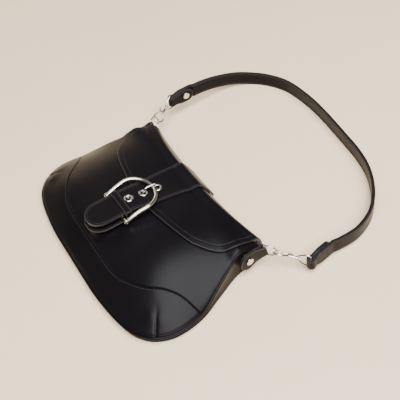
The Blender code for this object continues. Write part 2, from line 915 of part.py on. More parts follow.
def make_snap_stud(look, group):
    post_end = snap_stud_plate + snap_post_height
    profile = (
        (0.0, 0.0), (snap_radius, 0.0), (snap_radius, -snap_stud_plate), (snap_post_radius, -snap_stud_plate),
        (snap_post_radius, -post_end), (0.0, -post_end),
    )
    stud = turned("snap_stud", profile, look, group)
    apply_modifiers(stud)
    place(stud, Matrix.Translation((0, snap_y, tab_bottom_height - gap)))
    return stud


# Side tabs, rivets and rings


side_sign = {"left": -1, "right": 1}


def side_tab_frame(side):
    """Origin at the tab's low end and X towards the ring, Z out of the gusset; and the tab's length."""
    low = Vector((half_width(side_tab_low_y), side_tab_low_y, side_tab_low_z))
    high = Vector((half_width(side_tab_high_y), side_tab_high_y, side_tab_high_z))
    out = Vector((high.y - low.y, low.x - high.x, 0)).normalized()
    length = (high - low).length
    along = (high - low) / length
    low += out * side_tab_standoff
    if side < 0:
        low.x, along.x, out.x = -low.x, -along.x, -out.x
    return frame_matrix(low, along, out.cross(along), out), length


def ring_bar(side):
    """Centre of the ring's bar and its direction, upwards."""
    matrix, length = side_tab_frame(side)
    centre = matrix @ Vector((length, 0, side_tab_leather / 2 + side_tab_fold_rise))
    direction = matrix.to_3x3() @ Vector((0, side, 0))
    return centre, direction


def make_side_tab(side_name, look, group):
    matrix, length = side_tab_frame(side_sign[side_name])
    centre_height = side_tab_leather / 2 + side_tab_fold_rise
    radius = side_tab_end_radius
    outline = []
    for angle in np.linspace(math.pi / 2, math.pi * 1.5, arc_steps):
        outline.append((radius + radius * math.cos(angle), radius * math.sin(angle)))
    half = side_tab_fold_half_width
    outline += [(length, -half), (length, half)]
    tab = plate("side_tab_" + side_name, outline, side_tab_leather, look, group)
    ends = [(length, step, centre_height) for step in (-half, half)]
    combine(tab, rod("fold", side_tab_fold_radius, *ends, look, group), "UNION")
    ends = [(length, step, centre_height) for step in (-half - leather, half + leather)]
    combine(tab, rod("bore", ring_wire_radius + gap, *ends, look, group), "DIFFERENCE")
    ends = [(rivet_from_tab_end, 0, height) for height in (-leather, side_tab_leather + leather)]
    combine(tab, rod("hole", rivet_post_radius + gap, *ends, look, group), "DIFFERENCE")
    place(tab, matrix)
    smooth(tab)
    return tab


def rivet_profile(post_length):
    """A domed head on a post; Z = 0 is the leather's face."""
    profile = []
    for angle in np.linspace(0, math.pi / 2, arc_steps // 3 + 1):
        height = gap + rivet_rim_height + (rivet_head_height - rivet_rim_height) * math.cos(angle)
        profile.append((rivet_head_radius * math.sin(angle), height))
    return profile + [
        (rivet_head_radius, gap),
        (rivet_post_radius, gap),
        (rivet_post_radius, -post_length),
        (0.0, -post_length),
    ]


def make_tab_rivet(side_name, look, group):
    post_length = side_tab_leather + side_tab_standoff + leather
    rivet = turned("tab_rivet_" + side_name, rivet_profile(post_length), look, group)
    apply_modifiers(rivet)
    seat = Matrix.Translation((rivet_from_tab_end, 0, side_tab_leather))
    place(rivet, side_tab_frame(side_sign[side_name])[0] @ seat)
    return rivet


def hook_direction(side_name):
    azimuth = hook_azimuth[side_name]
    elevation = hook_elevation[side_name]
    flat = math.cos(elevation)
    outward = side_sign[side_name] * math.sin(azimuth) * flat
    return Vector((outward, math.cos(azimuth) * flat, math.sin(elevation)))


def ring_geometry(side_name):
    """Bar centre and direction, direction out of the tab, arc centre, and the hook's place on the wire."""
    centre, bar = ring_bar(side_sign[side_name])
    pull = hook_direction(side_name)
    out = (pull - bar * pull.dot(bar)).normalized()
    arc_centre = centre + out * ring_leg
    return centre, bar, out, arc_centre, arc_centre + pull * ring_radius


def hang_place(side_name):
    return ring_geometry(side_name)[4]


def make_d_ring(side_name, look, group):
    centre, bar, out, arc_centre, _ = ring_geometry(side_name)
    points = [centre - bar * ring_half_bar, centre + bar * ring_half_bar]
    for angle in np.linspace(math.pi / 2, -math.pi / 2, arc_steps + 1):
        reach = ring_radius * math.cos(angle)
        points.append(arc_centre + out * reach + bar * ring_half_bar * math.sin(angle))
    return tube("d_ring_" + side_name, points, ring_wire_radius, look, group, cyclic=True)


# Snap hooks


def hook_origin(side_name):
    """Middle of the hook's loop when the strap pulls the loop against the ring's wire."""
    slack = hook_loop_radius - hook_wire_radius - ring_wire_radius - hook_play
    return hang_place(side_name) + hook_direction(side_name) * slack


def hook_frame(side_name):
    """Origin in the loop's middle; X along the hook to the strap, Y across its loop, Z through the loop."""
    bar = ring_geometry(side_name)[1]
    pull = hook_direction(side_name)
    wire = (bar - pull * bar.dot(pull)).normalized()
    through = wire * math.cos(hook_roll) - pull.cross(wire) * math.sin(hook_roll) * side_sign[side_name]
    return frame_matrix(hook_origin(side_name), pull, through.cross(pull), through)


def loop_point(angle, height=0.0):
    return (math.cos(angle) * hook_loop_radius, math.sin(angle) * hook_loop_radius, height)


def make_hook_body(side_name, look, group):
    throat = loop_point(hook_throat_start)
    points = [(hook_barrel_start + hook_barrel_radius, 0, 0), (hook_barrel_start, throat[1] / 3, 0)]
    for angle in np.linspace(hook_throat_start, hook_tip_angle - 2 * math.pi, arc_steps * 2):
        points.append(loop_point(angle))
    body = tube("hook_body_" + side_name, points, hook_wire_radius, look, group)
    head_start = collar_start + collar_length + gap
    head_end = head_start + swivel_head_length
    for radius, start, end in (
        (hook_barrel_radius, hook_barrel_start, hook_barrel_end),
        (hook_neck_radius, hook_barrel_end - hook_neck_radius, head_end - hook_neck_radius),
        (swivel_head_radius, head_start, head_end),
    ):
        combine(body, rod("turned_part", radius, (start, 0, 0), (end, 0, 0), look, group), "UNION")
    pivot_x, pivot_y = gate_pivot
    lug = block("lug", (pivot_x - gate_knuckle_radius, 0, -gate_layer),
                (pivot_x + gate_knuckle_radius, pivot_y + gate_knuckle_radius, -gap / 2), look, group)
    combine(body, lug, "UNION")
    ends = [(pivot_x, pivot_y, height) for height in (-gate_layer * 2, gate_layer)]
    combine(body, rod("hole", gate_pin_radius + bore_clearance, *ends, look, group), "DIFFERENCE")
    place(body, hook_frame(side_name))
    smooth(body, wire_smooth_angle)
    return body


def make_hook_gate(side_name, look, group):
    """Its knuckle turns beside the hook's lug; a thumb lever stands off behind it."""
    pivot_x, pivot_y = gate_pivot
    layer = (gap / 2 + gate_layer) / 2
    points = [
        (pivot_x + thumb_reach[0], pivot_y + thumb_reach[1], layer),
        (pivot_x, pivot_y + gate_wire_radius, layer),
    ]
    points += [loop_point(angle) for angle in np.linspace(gate_arc_start, gate_tip_angle, 4)]
    gate = tube("hook_gate_" + side_name, spline(points, arc_steps), gate_wire_radius, look, group)
    ends = [(pivot_x, pivot_y, height) for height in (gap / 2, gate_layer)]
    combine(gate, rod("knuckle", gate_knuckle_radius, *ends, look, group), "UNION")
    ends = [(pivot_x, pivot_y, height) for height in (-gate_layer, gate_layer * 2)]
    combine(gate, rod("hole", gate_pin_radius + bore_clearance, *ends, look, group), "DIFFERENCE")
    place(gate, hook_frame(side_name))
    smooth(gate, wire_smooth_angle)
    return gate


def make_gate_pin(side_name, look, group):
    head = gate_pin_radius
    top = gate_layer + gap * 2
    low = -gate_layer - gap
    profile = (
        (0.0, top + head), (gate_pin_head, top + head), (gate_pin_head, top), (gate_pin_radius, top),
        (gate_pin_radius, low), (gate_pin_head, low), (gate_pin_head, low - head), (0.0, low - head),
    )
    pin = turned("gate_pin_" + side_name, profile, look, group)
    apply_modifiers(pin)
    place(pin, hook_frame(side_name) @ Matrix.Translation((*gate_pivot, 0)))
    return pin


def eye_place(side_name):
    return hook_origin(side_name) + hook_direction(side_name) * eye_bar_distance


def make_swivel_eye(side_name, look, group):
    """A collar round the hook's neck, and a loop whose upright bar carries the strap."""
    eye = eye_place(side_name)
    pull = hook_direction(side_name)
    start = collar_start + collar_length / 2 - eye_bar_distance
    half = [
        (start, collar_radius * eye_root_share),
        (start * eye_root_share, eye_half_width * eye_shoulder_share),
        (start / 3, eye_half_width),
        (0.0, eye_half_width),
    ]
    line = half + [(along, -height) for along, height in half[::-1]]
    points = [eye + pull * along + Vector((0, 0, height)) for along, height in line]
    thing = tube("swivel_eye_" + side_name, points, eye_wire_radius, look, group)
    centre = hook_origin(side_name)
    ends = [centre + pull * (collar_start + step) for step in (0.0, collar_length)]
    combine(thing, rod("collar", collar_radius, *ends, look, group), "UNION")
    reach = (-collar_length / 2, collar_length * collar_bore_share)
    ends = [centre + pull * (collar_start + step) for step in reach]
    combine(thing, rod("bore", hook_neck_radius + bore_clearance, *ends, look, group), "DIFFERENCE")
    smooth(thing, wire_smooth_angle)
    return thing


# Shoulder strap


def strap_end_frame(side_name):
    """The eye's place, the direction out along the strap and the direction to the inside of the loop."""
    first = strap_flat_points()[0 if side_name == "left" else -1]
    eye = eye_place(side_name)
    along = Vector((first.x - eye.x, first.y - eye.y, 0)).normalized()
    inward = Vector((along.y, -along.x, 0)) * -side_sign[side_name]
    return eye, along, inward


def strap_flat_points():
    """Centre line of the strap where it lies on its edge."""
    axis_y = hang_place("left").y
    points = []
    for x_share, y_share in strap_route_shares:
        points.append(Vector((x_share * strap_loop_half_width, axis_y + y_share * strap_loop_length,
                              strap_half_width)))
    return points


def strap_end(side_name):
    """One end from the tail round the eye's bar: points with half widths."""
    eye, along, inward = strap_end_frame(side_name)
    fold = eye_wire_radius + gap + strap_leather / 2
    layer = (strap_leather + gap) / 2
    line = []
    for distance, half in round_end(0.0, strap_half_width):
        line.append((eye + along * (strap_end_length - distance) + inward * layer, half))
    line.append((eye + along * strap_taper_length + inward * layer, strap_half_width))
    nose = strap_nose_half_width
    for angle in np.linspace(math.pi / 2, math.pi * 1.5, arc_steps - 1):
        line.append((eye + along * fold * math.cos(angle) + inward * fold * math.sin(angle), nose))
    line.append((eye + along * strap_taper_length - inward * layer, strap_half_width))
    line.append((eye + along * strap_end_length - inward * layer, strap_half_width))
    return line


def strap_line():
    """The whole strap from tail to tail: points with half widths."""
    left = strap_end("left")
    right = strap_end("right")
    ends = [left[-2][0], left[-1][0], *strap_flat_points(), right[-1][0], right[-2][0]]
    middle = spline([tuple(point) for point in ends], strap_middle_samples)
    clear = strap_end_length * strap_clear_share
    kept = []
    for point in middle:
        from_eye = min((Vector(point) - eye_place(name)).xy.length for name in side_sign)
        if from_eye > clear:
            height = eye_place("left").z if point[0] < 0 else eye_place("right").z
            lift = smoothstep(1 - (from_eye - strap_end_length) / strap_rise_length)
            z = strap_half_width + (height - strap_half_width) * lift
            kept.append((Vector((point[0], point[1], z)), strap_half_width))
    return left + kept + right[::-1]


def make_strap(look, group):
    line = strap_line()
    points = np.array([tuple(point) for point, _ in line])
    slopes = np.gradient(points, axis=0)
    rows = []
    for point, slope, (_, half) in zip(points, slopes, line):
        normal = np.array((slope[1], -slope[0], 0.0)) / math.hypot(slope[0], slope[1])
        base = point - normal * strap_leather / 2
        rows.append([tuple(base + np.array((0, 0, half * share))) for share in (-1, 1)])
    strap = sheet("strap", rows, strap_leather, lambda _: Vector((0, -1, 0)), look, group)
    apply_modifiers(strap)
    for side_name in side_sign:
        eye, along, inward = strap_end_frame(side_name)
        centre = eye + along * strap_rivet_distance
        ends = [centre + inward * strap_leather * share for share in (-2, 2)]
        combine(strap, rod("hole", rivet_post_radius + gap, *ends, look, group), "DIFFERENCE")
    return strap


def make_strap_rivet(side_name, look, group):
    """Set through both layers of the strap's end, its head on the inner face."""
    eye, along, inward = strap_end_frame(side_name)
    depth = strap_leather + gap / 2
    rivet = turned("strap_rivet_" + side_name, rivet_profile(depth * 2), look, group)
    apply_modifiers(rivet)
    seat = eye + along * strap_rivet_distance + inward * depth
    place(rivet, frame_matrix(seat, along, inward.cross(along), inward))
    return rivet


# Joints


def hang(things, empty):
    """Parents objects to an empty on their joint's axis, leaving them where they are."""
    bpy.context.view_layer.update()
    for thing in things:
        thing.parent = empty
        thing.matrix_parent_inverse = empty.matrix_world.inverted()


def pivot(name, location, axis, carrier, things, group):
    """An empty whose X axis lies on the joint's axis, hung from its carrier and carrying the things."""
    empty = bpy.data.objects.new(name, None)
    empty.empty_display_size = leather
    empty.location = location
    empty.rotation_mode = "QUATERNION"
    empty.rotation_quaternion = Vector(axis).to_track_quat("X", "Z")
    group.objects.link(empty)
    hang(things, empty)
    if carrier:
        hang([empty], carrier)
    return empty


def main():
    clear_scene()
    group = make_collection("shoulder_bag", False)
    black = leather_material("smooth_black_leather")
    nickel = metal_material("polished_nickel")
    cloth = cloth_material("woven_lining")
    body = [
        make_back_panel(black, group), make_gusset(black, group), make_piping(black, group),
        make_front_panel(black, group), make_front_yoke(black, group), make_lining(cloth, group),
        make_snap_socket(nickel, group),
    ]
    for side_name in side_sign:
        body.append(make_side_tab(side_name, black, group))
        body.append(make_tab_rivet(side_name, nickel, group))
    base = pivot("bag_origin", (0, 0, 0), (1, 0, 0), None, body, group)
    flap_parts = [
        make_flap(black, group), make_closure_belt(black, group), make_buckle_tab(black, group),
        make_belt_keeper(black, group), make_buckle_bar(nickel, group), make_snap_stud(nickel, group),
        *make_bar_loops(black, group), *make_eyelets(nickel, group),
    ]
    flap_axis = pivot("flap_hinge", (0, bag_height + gap, 0), (-1, 0, 0), base, flap_parts, group)
    bar_centre = (0, bar_y, bar_height())
    pivot("buckle_lift", bar_centre, (1, 0, 0), flap_axis, [make_buckle_frame(nickel, group)], group)
    pivot("prong_lift", bar_centre, (1, 0, 0), flap_axis, [make_buckle_prong(nickel, group)], group)
    strap_parts = [make_strap(black, group)]
    for side_name in side_sign:
        strap_parts.append(make_strap_rivet(side_name, nickel, group))
        strap_parts.append(make_swivel_eye(side_name, nickel, group))
    arc_centres = {side_name: ring_geometry(side_name)[3] for side_name in side_sign}
    lift_axis = arc_centres["right"] - arc_centres["left"]
    strap_axis = pivot("strap_lift", arc_centres["left"], lift_axis, base, strap_parts, group)
    for side_name in side_sign:
        centre, bar = ring_geometry(side_name)[:2]
        pivot(f"ring_{side_name}_swing", centre, bar, base, [make_d_ring(side_name, nickel, group)], group)
        hook = [make_hook_body(side_name, nickel, group), make_gate_pin(side_name, nickel, group)]
        hook_axis = pivot(f"hook_{side_name}_swivel", hang_place(side_name), hook_direction(side_name), strap_axis,
                          hook, group)
        frame = hook_frame(side_name)
        pivot(f"gate_{side_name}", frame @ Vector((*gate_pivot, 0)), frame.to_3x3() @ Vector((0, 0, 1)), hook_axis,
              [make_hook_gate(side_name, nickel, group)], group)
    base.location = (0, -bag_height / 2, 0)


main()
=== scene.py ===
import math

import bmesh
import bpy
import numpy as np
from mathutils import Matrix, Vector


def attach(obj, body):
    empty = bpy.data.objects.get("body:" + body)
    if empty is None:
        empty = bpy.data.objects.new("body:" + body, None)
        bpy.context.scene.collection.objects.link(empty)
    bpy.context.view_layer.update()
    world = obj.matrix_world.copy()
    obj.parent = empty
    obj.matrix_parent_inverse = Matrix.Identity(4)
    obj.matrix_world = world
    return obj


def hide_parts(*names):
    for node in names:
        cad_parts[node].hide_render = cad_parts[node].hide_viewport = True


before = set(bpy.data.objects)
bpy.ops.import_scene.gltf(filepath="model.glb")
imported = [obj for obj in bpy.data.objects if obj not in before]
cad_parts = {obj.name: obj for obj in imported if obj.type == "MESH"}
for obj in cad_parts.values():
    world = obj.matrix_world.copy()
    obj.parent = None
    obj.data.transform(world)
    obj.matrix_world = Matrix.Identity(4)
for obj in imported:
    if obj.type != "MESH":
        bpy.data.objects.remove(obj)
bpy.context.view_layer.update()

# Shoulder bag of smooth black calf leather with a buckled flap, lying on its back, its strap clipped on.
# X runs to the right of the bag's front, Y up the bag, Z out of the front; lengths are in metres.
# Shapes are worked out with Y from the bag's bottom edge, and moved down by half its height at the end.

millimetre = 0.001

# Sides of the bag
side_sign = {"left": -1, "right": 1}

# Clearances and thicknesses
gap = 0.0003
leather = 0.0015
lining_cloth = 0.0008
flap_leather = 0.0025

# Bag body
bag_half_width = 0.132
bag_height = 0.153
outline_shares = (
    (0.0, 0.0), (0.31, 0.0), (0.55, 0.016), (0.73, 0.043), (0.85, 0.083), (0.947, 0.16),
    (1.0, 0.285), (0.981, 0.458), (0.9, 0.628), (0.815, 0.81), (0.792, 1.0),
)
edge_height_bottom = 0.0065
edge_height_top = 0.032
edge_rise_start = 0.035
edge_rise_length = 0.09
edge_fall_start = 0.12
edge_fall_length = 0.033
side_sag = 0.0092
side_sag_start = 0.04
side_sag_length = 0.04
side_sag_end = 0.132
side_sag_end_length = 0.02
crest_height = 0.0415
dome_reach = 0.08
top_fall = 0.009
top_fall_start = 0.085
top_fall_length = 0.06
belt_dip = 0.002
belt_dip_width = 0.028
belt_dip_start = 0.05
belt_dip_length = 0.04
piping_radius = 0.0015
mouth_back_setback = 0.003
seam_gap = 0.0003
yoke_end_length = 0.004
lining_square_share = 0.62
lining_slack = 0.0008
lining_front_slack = 0.002
lining_floor_slack = 0.002
seam_shares = (
    (0.0, 0.15), (0.38, 0.157), (0.545, 0.2), (0.667, 0.265), (0.745, 0.34), (0.845, 0.41), (0.981, 0.458),
)

# Fold of the flap over the mouth
fold_middle_y = 0.1425
fold_corner_rise = 0.0135
fold_middle_z = 0.033
fold_corner_drop = 0.0115
fold_side_setback = 0.0025
fold_front_setback = 0.0125
front_edge_setback = 0.0075
flap_lift = 0.0006
flap_front_start_share = 1.5
flap_hinge_setback = 0.002
hinge_clearance = 0.0009
flap_side_shares = ((1.0, 0.0), (1.006, 0.15), (0.985, 0.3), (0.931, 0.48), (0.875, 0.595))
flap_low_shares = (
    (0.875, 0.595), (0.814, 0.683), (0.735, 0.775), (0.578, 0.867), (0.441, 0.922), (0.2, 0.99), (0.0, 1.014),
)
flap_drop = 0.0545
flap_bulge = 0.0015
flap_outward_share = 0.125

# Closure belt, its tab and keeper
belt_leather = 0.0022
belt_half_width_top = 0.0202
belt_half_width_keeper = 0.0158
belt_tip_y = 0.0255
belt_back_y_share = 0.3
belt_flat_height = 0.048
belt_leave_y = 0.102
belt_flat_y = 0.064
tip_start_angle = math.radians(12)
tab_leather = 0.0018
tab_half_width = 0.0174
tab_bottom_height = 0.0412
tab_top_y = 0.0665
tab_tip_y = 0.0235
keeper_leather = 0.0011
keeper_low_y = 0.06
keeper_length = 0.0065

# Buckle
bar_y = 0.0575
bar_radius = 0.0011
prong_knuckle_radius = 0.002
prong_knuckle_half_length = 0.0017
frame_half_width = 0.0226
frame_foot_half_width = 0.0214
frame_top_y = 0.0988
frame_shoulder_y = 0.079
frame_wire_radius = 0.002
frame_bow = 0.0042
frame_knuckle_radius = 0.0027
frame_knuckle_length = 0.0036
bore_clearance = 0.00015
prong_radius = 0.00085
prong_rise_run = 0.0013
prong_crook = 0.00025
prong_tip_overhang = 0.0022
loop_leather = 0.0008
loop_length = 0.009
loop_inner_x = 0.0045

# Eyelets
eyelet_names = ("lower", "middle", "upper")
eyelet_first_y = 0.0717
eyelet_spacing = 0.0156
eyelet_flange_radius = 0.0048
eyelet_hole_radius = 0.0026
eyelet_barrel_wall = 0.0004
eyelet_flange = 0.0006

# Magnetic snap
snap_y = 0.047
snap_radius = 0.008
snap_socket_height = 0.0024
snap_socket_floor = 0.0008
snap_bevel = 0.0006
snap_stud_plate = 0.0011
snap_post_radius = 0.0025
snap_post_height = 0.0015
snap_post_clearance = 0.0012
snap_flat_radius = 0.018
snap_flat_power = 6

# Side tabs and rivets
side_tab_low_y = 0.1245
side_tab_high_y = 0.1515
side_tab_low_z = 0.0145
side_tab_high_z = 0.0192
side_tab_leather = 0.0034
side_tab_end_radius = 0.0098
side_tab_fold_half_width = 0.0062
side_tab_standoff = 0.0019
side_tab_fold_radius = 0.0031
side_tab_fold_rise = 0.0022
rivet_head_radius = 0.0039
rivet_head_height = 0.0014
rivet_rim_height = 0.0004
rivet_post_radius = 0.0014
rivet_from_tab_end = 0.0105

# D rings
ring_wire_radius = 0.001
ring_radius = 0.008
ring_leg = 0.005
ring_half_bar = 0.008

# Snap hooks
hook_azimuth = {"left": math.radians(29), "right": math.radians(47)}
hook_elevation = {"left": math.radians(3), "right": math.radians(-12)}
hook_roll = math.radians(45)
hook_play = 0.0011
hook_loop_radius = 0.0055
hook_wire_radius = 0.0012
hook_throat_start = math.radians(-40)
hook_tip_angle = math.radians(105)
gate_arc_start = math.radians(58)
gate_tip_angle = math.radians(96)
gate_arc_points = 4
hook_barrel_start = 0.0074
hook_barrel_end = 0.0136
hook_barrel_radius = 0.0019
hook_neck_radius = 0.0009
collar_start = 0.0151
collar_length = 0.0024
collar_bore_share = 1.5
collar_radius = 0.0023
swivel_head_length = 0.0013
swivel_head_radius = 0.0016
gate_pivot = (0.0084, 0.0037)
gate_wire_radius = 0.0008
gate_knuckle_radius = 0.0014
gate_layer = 0.0014
gate_pin_radius = 0.0005
gate_pin_head = 0.0009
thumb_reach = (0.0036, 0.0022)
eye_bar_distance = 0.0302
eye_half_width = 0.0082
eye_wire_radius = 0.001
eye_shares = ((1.0, 0.224), (0.8, 0.6), (0.33, 1.0), (0.0, 1.0))

# Shoulder strap
strap_leather = 0.0032
strap_half_width = 0.0078
strap_nose_half_width = 0.0058
strap_loop_half_width = 0.1415
strap_loop_length = 0.158
strap_route_shares = (
    (-0.938, 0.345), (-0.942, 0.56), (-0.92, 0.72), (-0.847, 0.835), (-0.735, 0.92), (-0.56, 0.985),
    (-0.315, 1.0), (-0.08, 0.985), (0.22, 0.945), (0.415, 0.915), (0.583, 0.868), (0.723, 0.8),
    (0.84, 0.715), (0.934, 0.61), (0.994, 0.475), (1.0, 0.345), (0.985, 0.26),
)
strap_end_length = 0.027
strap_taper_length = 0.012
strap_end_spacing = 0.00135
strap_rivet_distance = 0.0175
strap_rise_length = 0.09

# Sewn, creased and rounded detail
dart_apex = (0.11, 0.0365)
dart_foot = (0.1235, 0.0262)
dart_depth = 0.0013
dart_half_width = 0.0013
dart_pucker = 0.0016
dart_pucker_reach = 0.0085
seam_roll_depth = 0.0006
seam_roll_width = 0.0008
piping_roll_depth = 0.0007
piping_roll_width = 0.0016
flap_line_inset = 0.0055
belt_line_inset = 0.0026
tab_line_inset = 0.0021
strap_line_inset = 0.0022
yoke_line_inset = 0.0024
crease_width = 0.00045
crease_depth = 0.00022
stitch_pitch = 0.0032
stitch_share = 0.74
thread_radius = 0.00024
thread_sides = 6
rounded_edge_share = 0.3
rounded_edge_steps = 3

# Fineness of curved surfaces
across = 144
arc_steps = 24
flap_profile_steps = 42
round_sides = 40
wire_sides = 20
weld_share = 0.002
strap_middle_samples = 220
strap_columns = 11
belt_columns = 25
belt_front_rows = 84
sharp_angle = math.radians(40)
point_span = 1e-12
corner_cut_share = 0.25
corner_passes = 2
wire_corner_passes = 3
thread_rise_shares = (-0.9, 0.25, 0.55, 0.25, -0.9)
broken_edge_share = 0.25
back_inner_share = 0.06
front_rows = 64
yoke_rows = 40
yoke_columns = 401
flap_front_rows = 40
taper_steps = 7
crowding = 0.85
dart_fade_share = 0.12
soft_edge_reach = 0.012
corner_x = 0.118
corner_y = 0.028
corner_reach = 0.026
gusset_pinch = 0.0006
gusset_pucker = 0.0003
lining_folds = 9
lining_fold_depth = 0.0009
keeper_bend = 0.0012
side_tab_fold_length = 0.0085
side_tab_samples = 120
keeper_line_inset = 0.0012
soft_places = (
    (0.0, 0.012, 0.03, -0.0004), (0.075, 0.06, 0.03, 0.0005), (-0.075, 0.06, 0.03, 0.0005),
    (0.05, 0.02, 0.022, -0.0003), (-0.05, 0.02, 0.022, -0.0003),
)

# Grain, dye and polish; a mottle has its patch size, its layers of detail and how strong the fine ones are
grain_cell = 0.0007
grain_depth = 0.00002
pore_roughness = 0.05
fibre_mottle = (0.004, 4.0, 0.6)
fibre_depth = 0.00006
dye_mottle = (0.05, 3.0, 0.5)
ripple_depth = 0.0004
# The rim's lighter colour: partly rubbed wear, partly a painted highlight on the rounded edge
rub_and_highlight_width = 0.0008
rub_and_highlight_share = 0.5
# Width of the painted shade along the seams' grooves
seam_shade_width = 0.0006
paint_mottle = (0.0015, 3.0, 0.5)
paint_depth = 0.00003
nap_mottle = (0.0006, 6.0, 0.7)
nap_depth = 0.00006
ply_mottle = (0.00025, 2.0, 0.5)
ply_depth = 0.0000625
polish_mottle = (0.012, 3.0, 0.5)
scratch_mottle = (0.0004, 5.0, 0.7)
scratch_stretch = (1.0, 0.12, 1.0)
scratch_depth = 0.000004
scratch_roughness = 0.05
twill_rib = 0.0011
twill_depth = 0.00008
twill_wobble = 0.4
rib_share = 0.7
wave_per_metre = 0.314
table_mottle = (0.15, 3.0, 0.5)
calf_black = ("#0A090B", "#110F12")
# Below, the rim colour is partly rubbed wear and partly a painted highlight; the seam colour is painted shade
# in the seams' grooves
rubbed_and_lit_edge = "#4A4745"
painted_seam_shade = "#0B0A0B"
paint_black = ("#0E0D0E", "#1C1A1B")
suede_black = ("#1B1A1B", "#343234")
thread_black = ("#141314", "#2C292A")
twill_black = ("#17161A", "#2E2C31")
nickel_colours = ("#CFCBC4", "#E4E1DB")
table_cream = ("#F2DAB4", "#F6E0BC")
calf_roughness = (0.28, 0.36)
paint_roughness = (0.24, 0.36)
suede_roughness = (0.8, 0.95)
thread_roughness = (0.45, 0.65)
nickel_roughness = (0.1, 0.18)
twill_roughness = (0.95, 0.8)
table_roughness = (0.5, 0.6)
calf_shine = {"IOR": 1.5, "Specular IOR Level": 0.105}
paint_shine = {"IOR": 1.5, "Specular IOR Level": 0.5}
suede_shine = {"IOR": 1.5, "Specular IOR Level": 0.25, "Sheen Weight": 0.25, "Sheen Roughness": 0.5}
thread_shine = {"IOR": 1.53, "Specular IOR Level": 0.4}
twill_shine = {"IOR": 1.5, "Specular IOR Level": 0.2, "Sheen Weight": 0.3, "Sheen Roughness": 0.4}
table_shine = {"IOR": 1.5, "Specular IOR Level": 0.3}

# Room, lamps and camera
camera_place = (0.4489, -0.1227, 0.5263)
camera_right = (0.516, 0.846, -0.131)
camera_up = (-0.588, 0.461, 0.665)
sensor_width = 36.0
focal_share = 1.705
table_half_size = 3.0
table_drop = 0.0001
room_colour = "#F4F3F2"
room_strength = 0.13
softboxes = (
    ("overhead", (0.85, 0.05, 1.75), (2.0, 2.0), 142.0, "#F8F6FA"),
    ("side_wall", (-1.5, 0.0, 1.2), (2.2, 1.0), 4.0, "#FFF2E2"),
    ("warm_wall", (-1.85, -0.1, 0.72), (1.0, 0.6), 3.2, "#FFE6CC"),
    ("warm_sill", (-1.95, 0.1, 0.28), (1.4, 0.25), 4.0, "#FFDDB0"),
)


def smoothstep(value):
    value = min(max(value, 0.0), 1.0)
    return value * value * (3.0 - 2.0 * value)


def spline(points, count):
    """Evenly spaced points on a smooth curve through the given points."""
    points = np.array([tuple(point) for point in points], float)
    before = 2 * points[0] - points[1]
    after = 2 * points[-1] - points[-2]
    whole = np.vstack((before, points, after))
    dense = []
    for index in range(len(points) - 1):
        a, b, c, d = whole[index : index + 4]
        for share in np.linspace(0, 1, arc_steps, endpoint=False):
            dense.append(
                0.5 * (2 * b + (c - a) * share + (2 * a - 5 * b + 4 * c - d) * share**2
                       + (3 * b - a - 3 * c + d) * share**3)
            )
    dense.append(points[-1])
    return resample(np.array(dense), np.linspace(0, 1, count))


def resample(points, shares):
    """Points at the given shares of a line's length."""
    points = np.array([tuple(point) for point in points], float)
    steps = np.linalg.norm(np.diff(points, axis=0), axis=1)
    along = np.concatenate(([0.0], np.cumsum(steps)))
    places = np.array(shares) * along[-1]
    return np.stack([np.interp(places, along, points[:, axis]) for axis in range(points.shape[1])], 1)


def unit_slopes(line):
    """Direction of a line at each of its points."""
    slopes = np.gradient(np.array(line), axis=0)
    return slopes / np.linalg.norm(slopes, axis=1)[:, None]


def line_length(points):
    return float(np.linalg.norm(np.diff(np.array(points), axis=0), axis=1).sum())


def arc(x, y, radius_x, radius_y, start, end, count=arc_steps):
    """Points round a place, from one angle to another."""
    angles = np.linspace(start, end, count)
    return [(x + radius_x * math.cos(angle), y + radius_y * math.sin(angle)) for angle in angles]


def half_outline(y_end, count):
    """The right half of the bag's outline, from the bottom's middle up to the height y_end."""
    sizes = np.array((bag_half_width, bag_height))
    curve = spline(np.array(outline_shares) * sizes, len(outline_shares) * arc_steps)
    curve[:, 1] = np.maximum(curve[:, 1], 0.0)
    kept = curve[curve[:, 1] <= y_end]
    last = (np.interp(y_end, curve[:, 1], curve[:, 0]), y_end)
    return resample(np.vstack((kept, last)), np.linspace(0, 1, count))


OUTLINE = half_outline(bag_height, len(outline_shares) * arc_steps)


def half_width(y):
    return float(np.interp(y, OUTLINE[:, 1], OUTLINE[:, 0]))


fold_half_width = half_width(bag_height) - fold_side_setback


def edge_height(x, y):
    """Height of the piped seam that joins the front to the gusset, sunk where the soft sides fold under."""
    rise = smoothstep((y - edge_rise_start) / edge_rise_length)
    fall = smoothstep((y - edge_fall_start) / edge_fall_length)
    sag = smoothstep(abs(x) / bag_half_width) * smoothstep((y - side_sag_start) / side_sag_length)
    sag *= side_sag * smoothstep((side_sag_end - y) / side_sag_end_length)
    height = edge_height_bottom + (edge_height_top - edge_height_bottom) * rise
    return height - fold_corner_drop * fall - sag


def dome_height(x, y):
    """Outer surface of the domed front, without the flat seat of the snap."""
    base = edge_height(x, y) + piping_radius + gap + leather
    from_side = min(max((half_width(y) - abs(x)) / dome_reach, 0.0), 1.0)
    from_bottom = min(max(y / dome_reach, 0.0), 1.0)
    rise = (1 - (1 - from_side) ** 2) * (1 - (1 - from_bottom) ** 2)
    fall = max((y - top_fall_start) / top_fall_length, 0.0) ** 2
    crest = crest_height - top_fall * fall
    dip = belt_dip * math.exp(-((x / belt_dip_width) ** 2))
    dip *= smoothstep((y - belt_dip_start) / belt_dip_length)
    return base + rise * (crest - base) - dip


def front_height(x, y):
    """Outer surface of the front, flat round the snap."""
    height = dome_height(x, y)
    from_snap = math.hypot(x, y - snap_y) / snap_flat_radius
    flat = math.exp(-(from_snap**snap_flat_power))
    return height + (snap_seat_height() - height) * flat


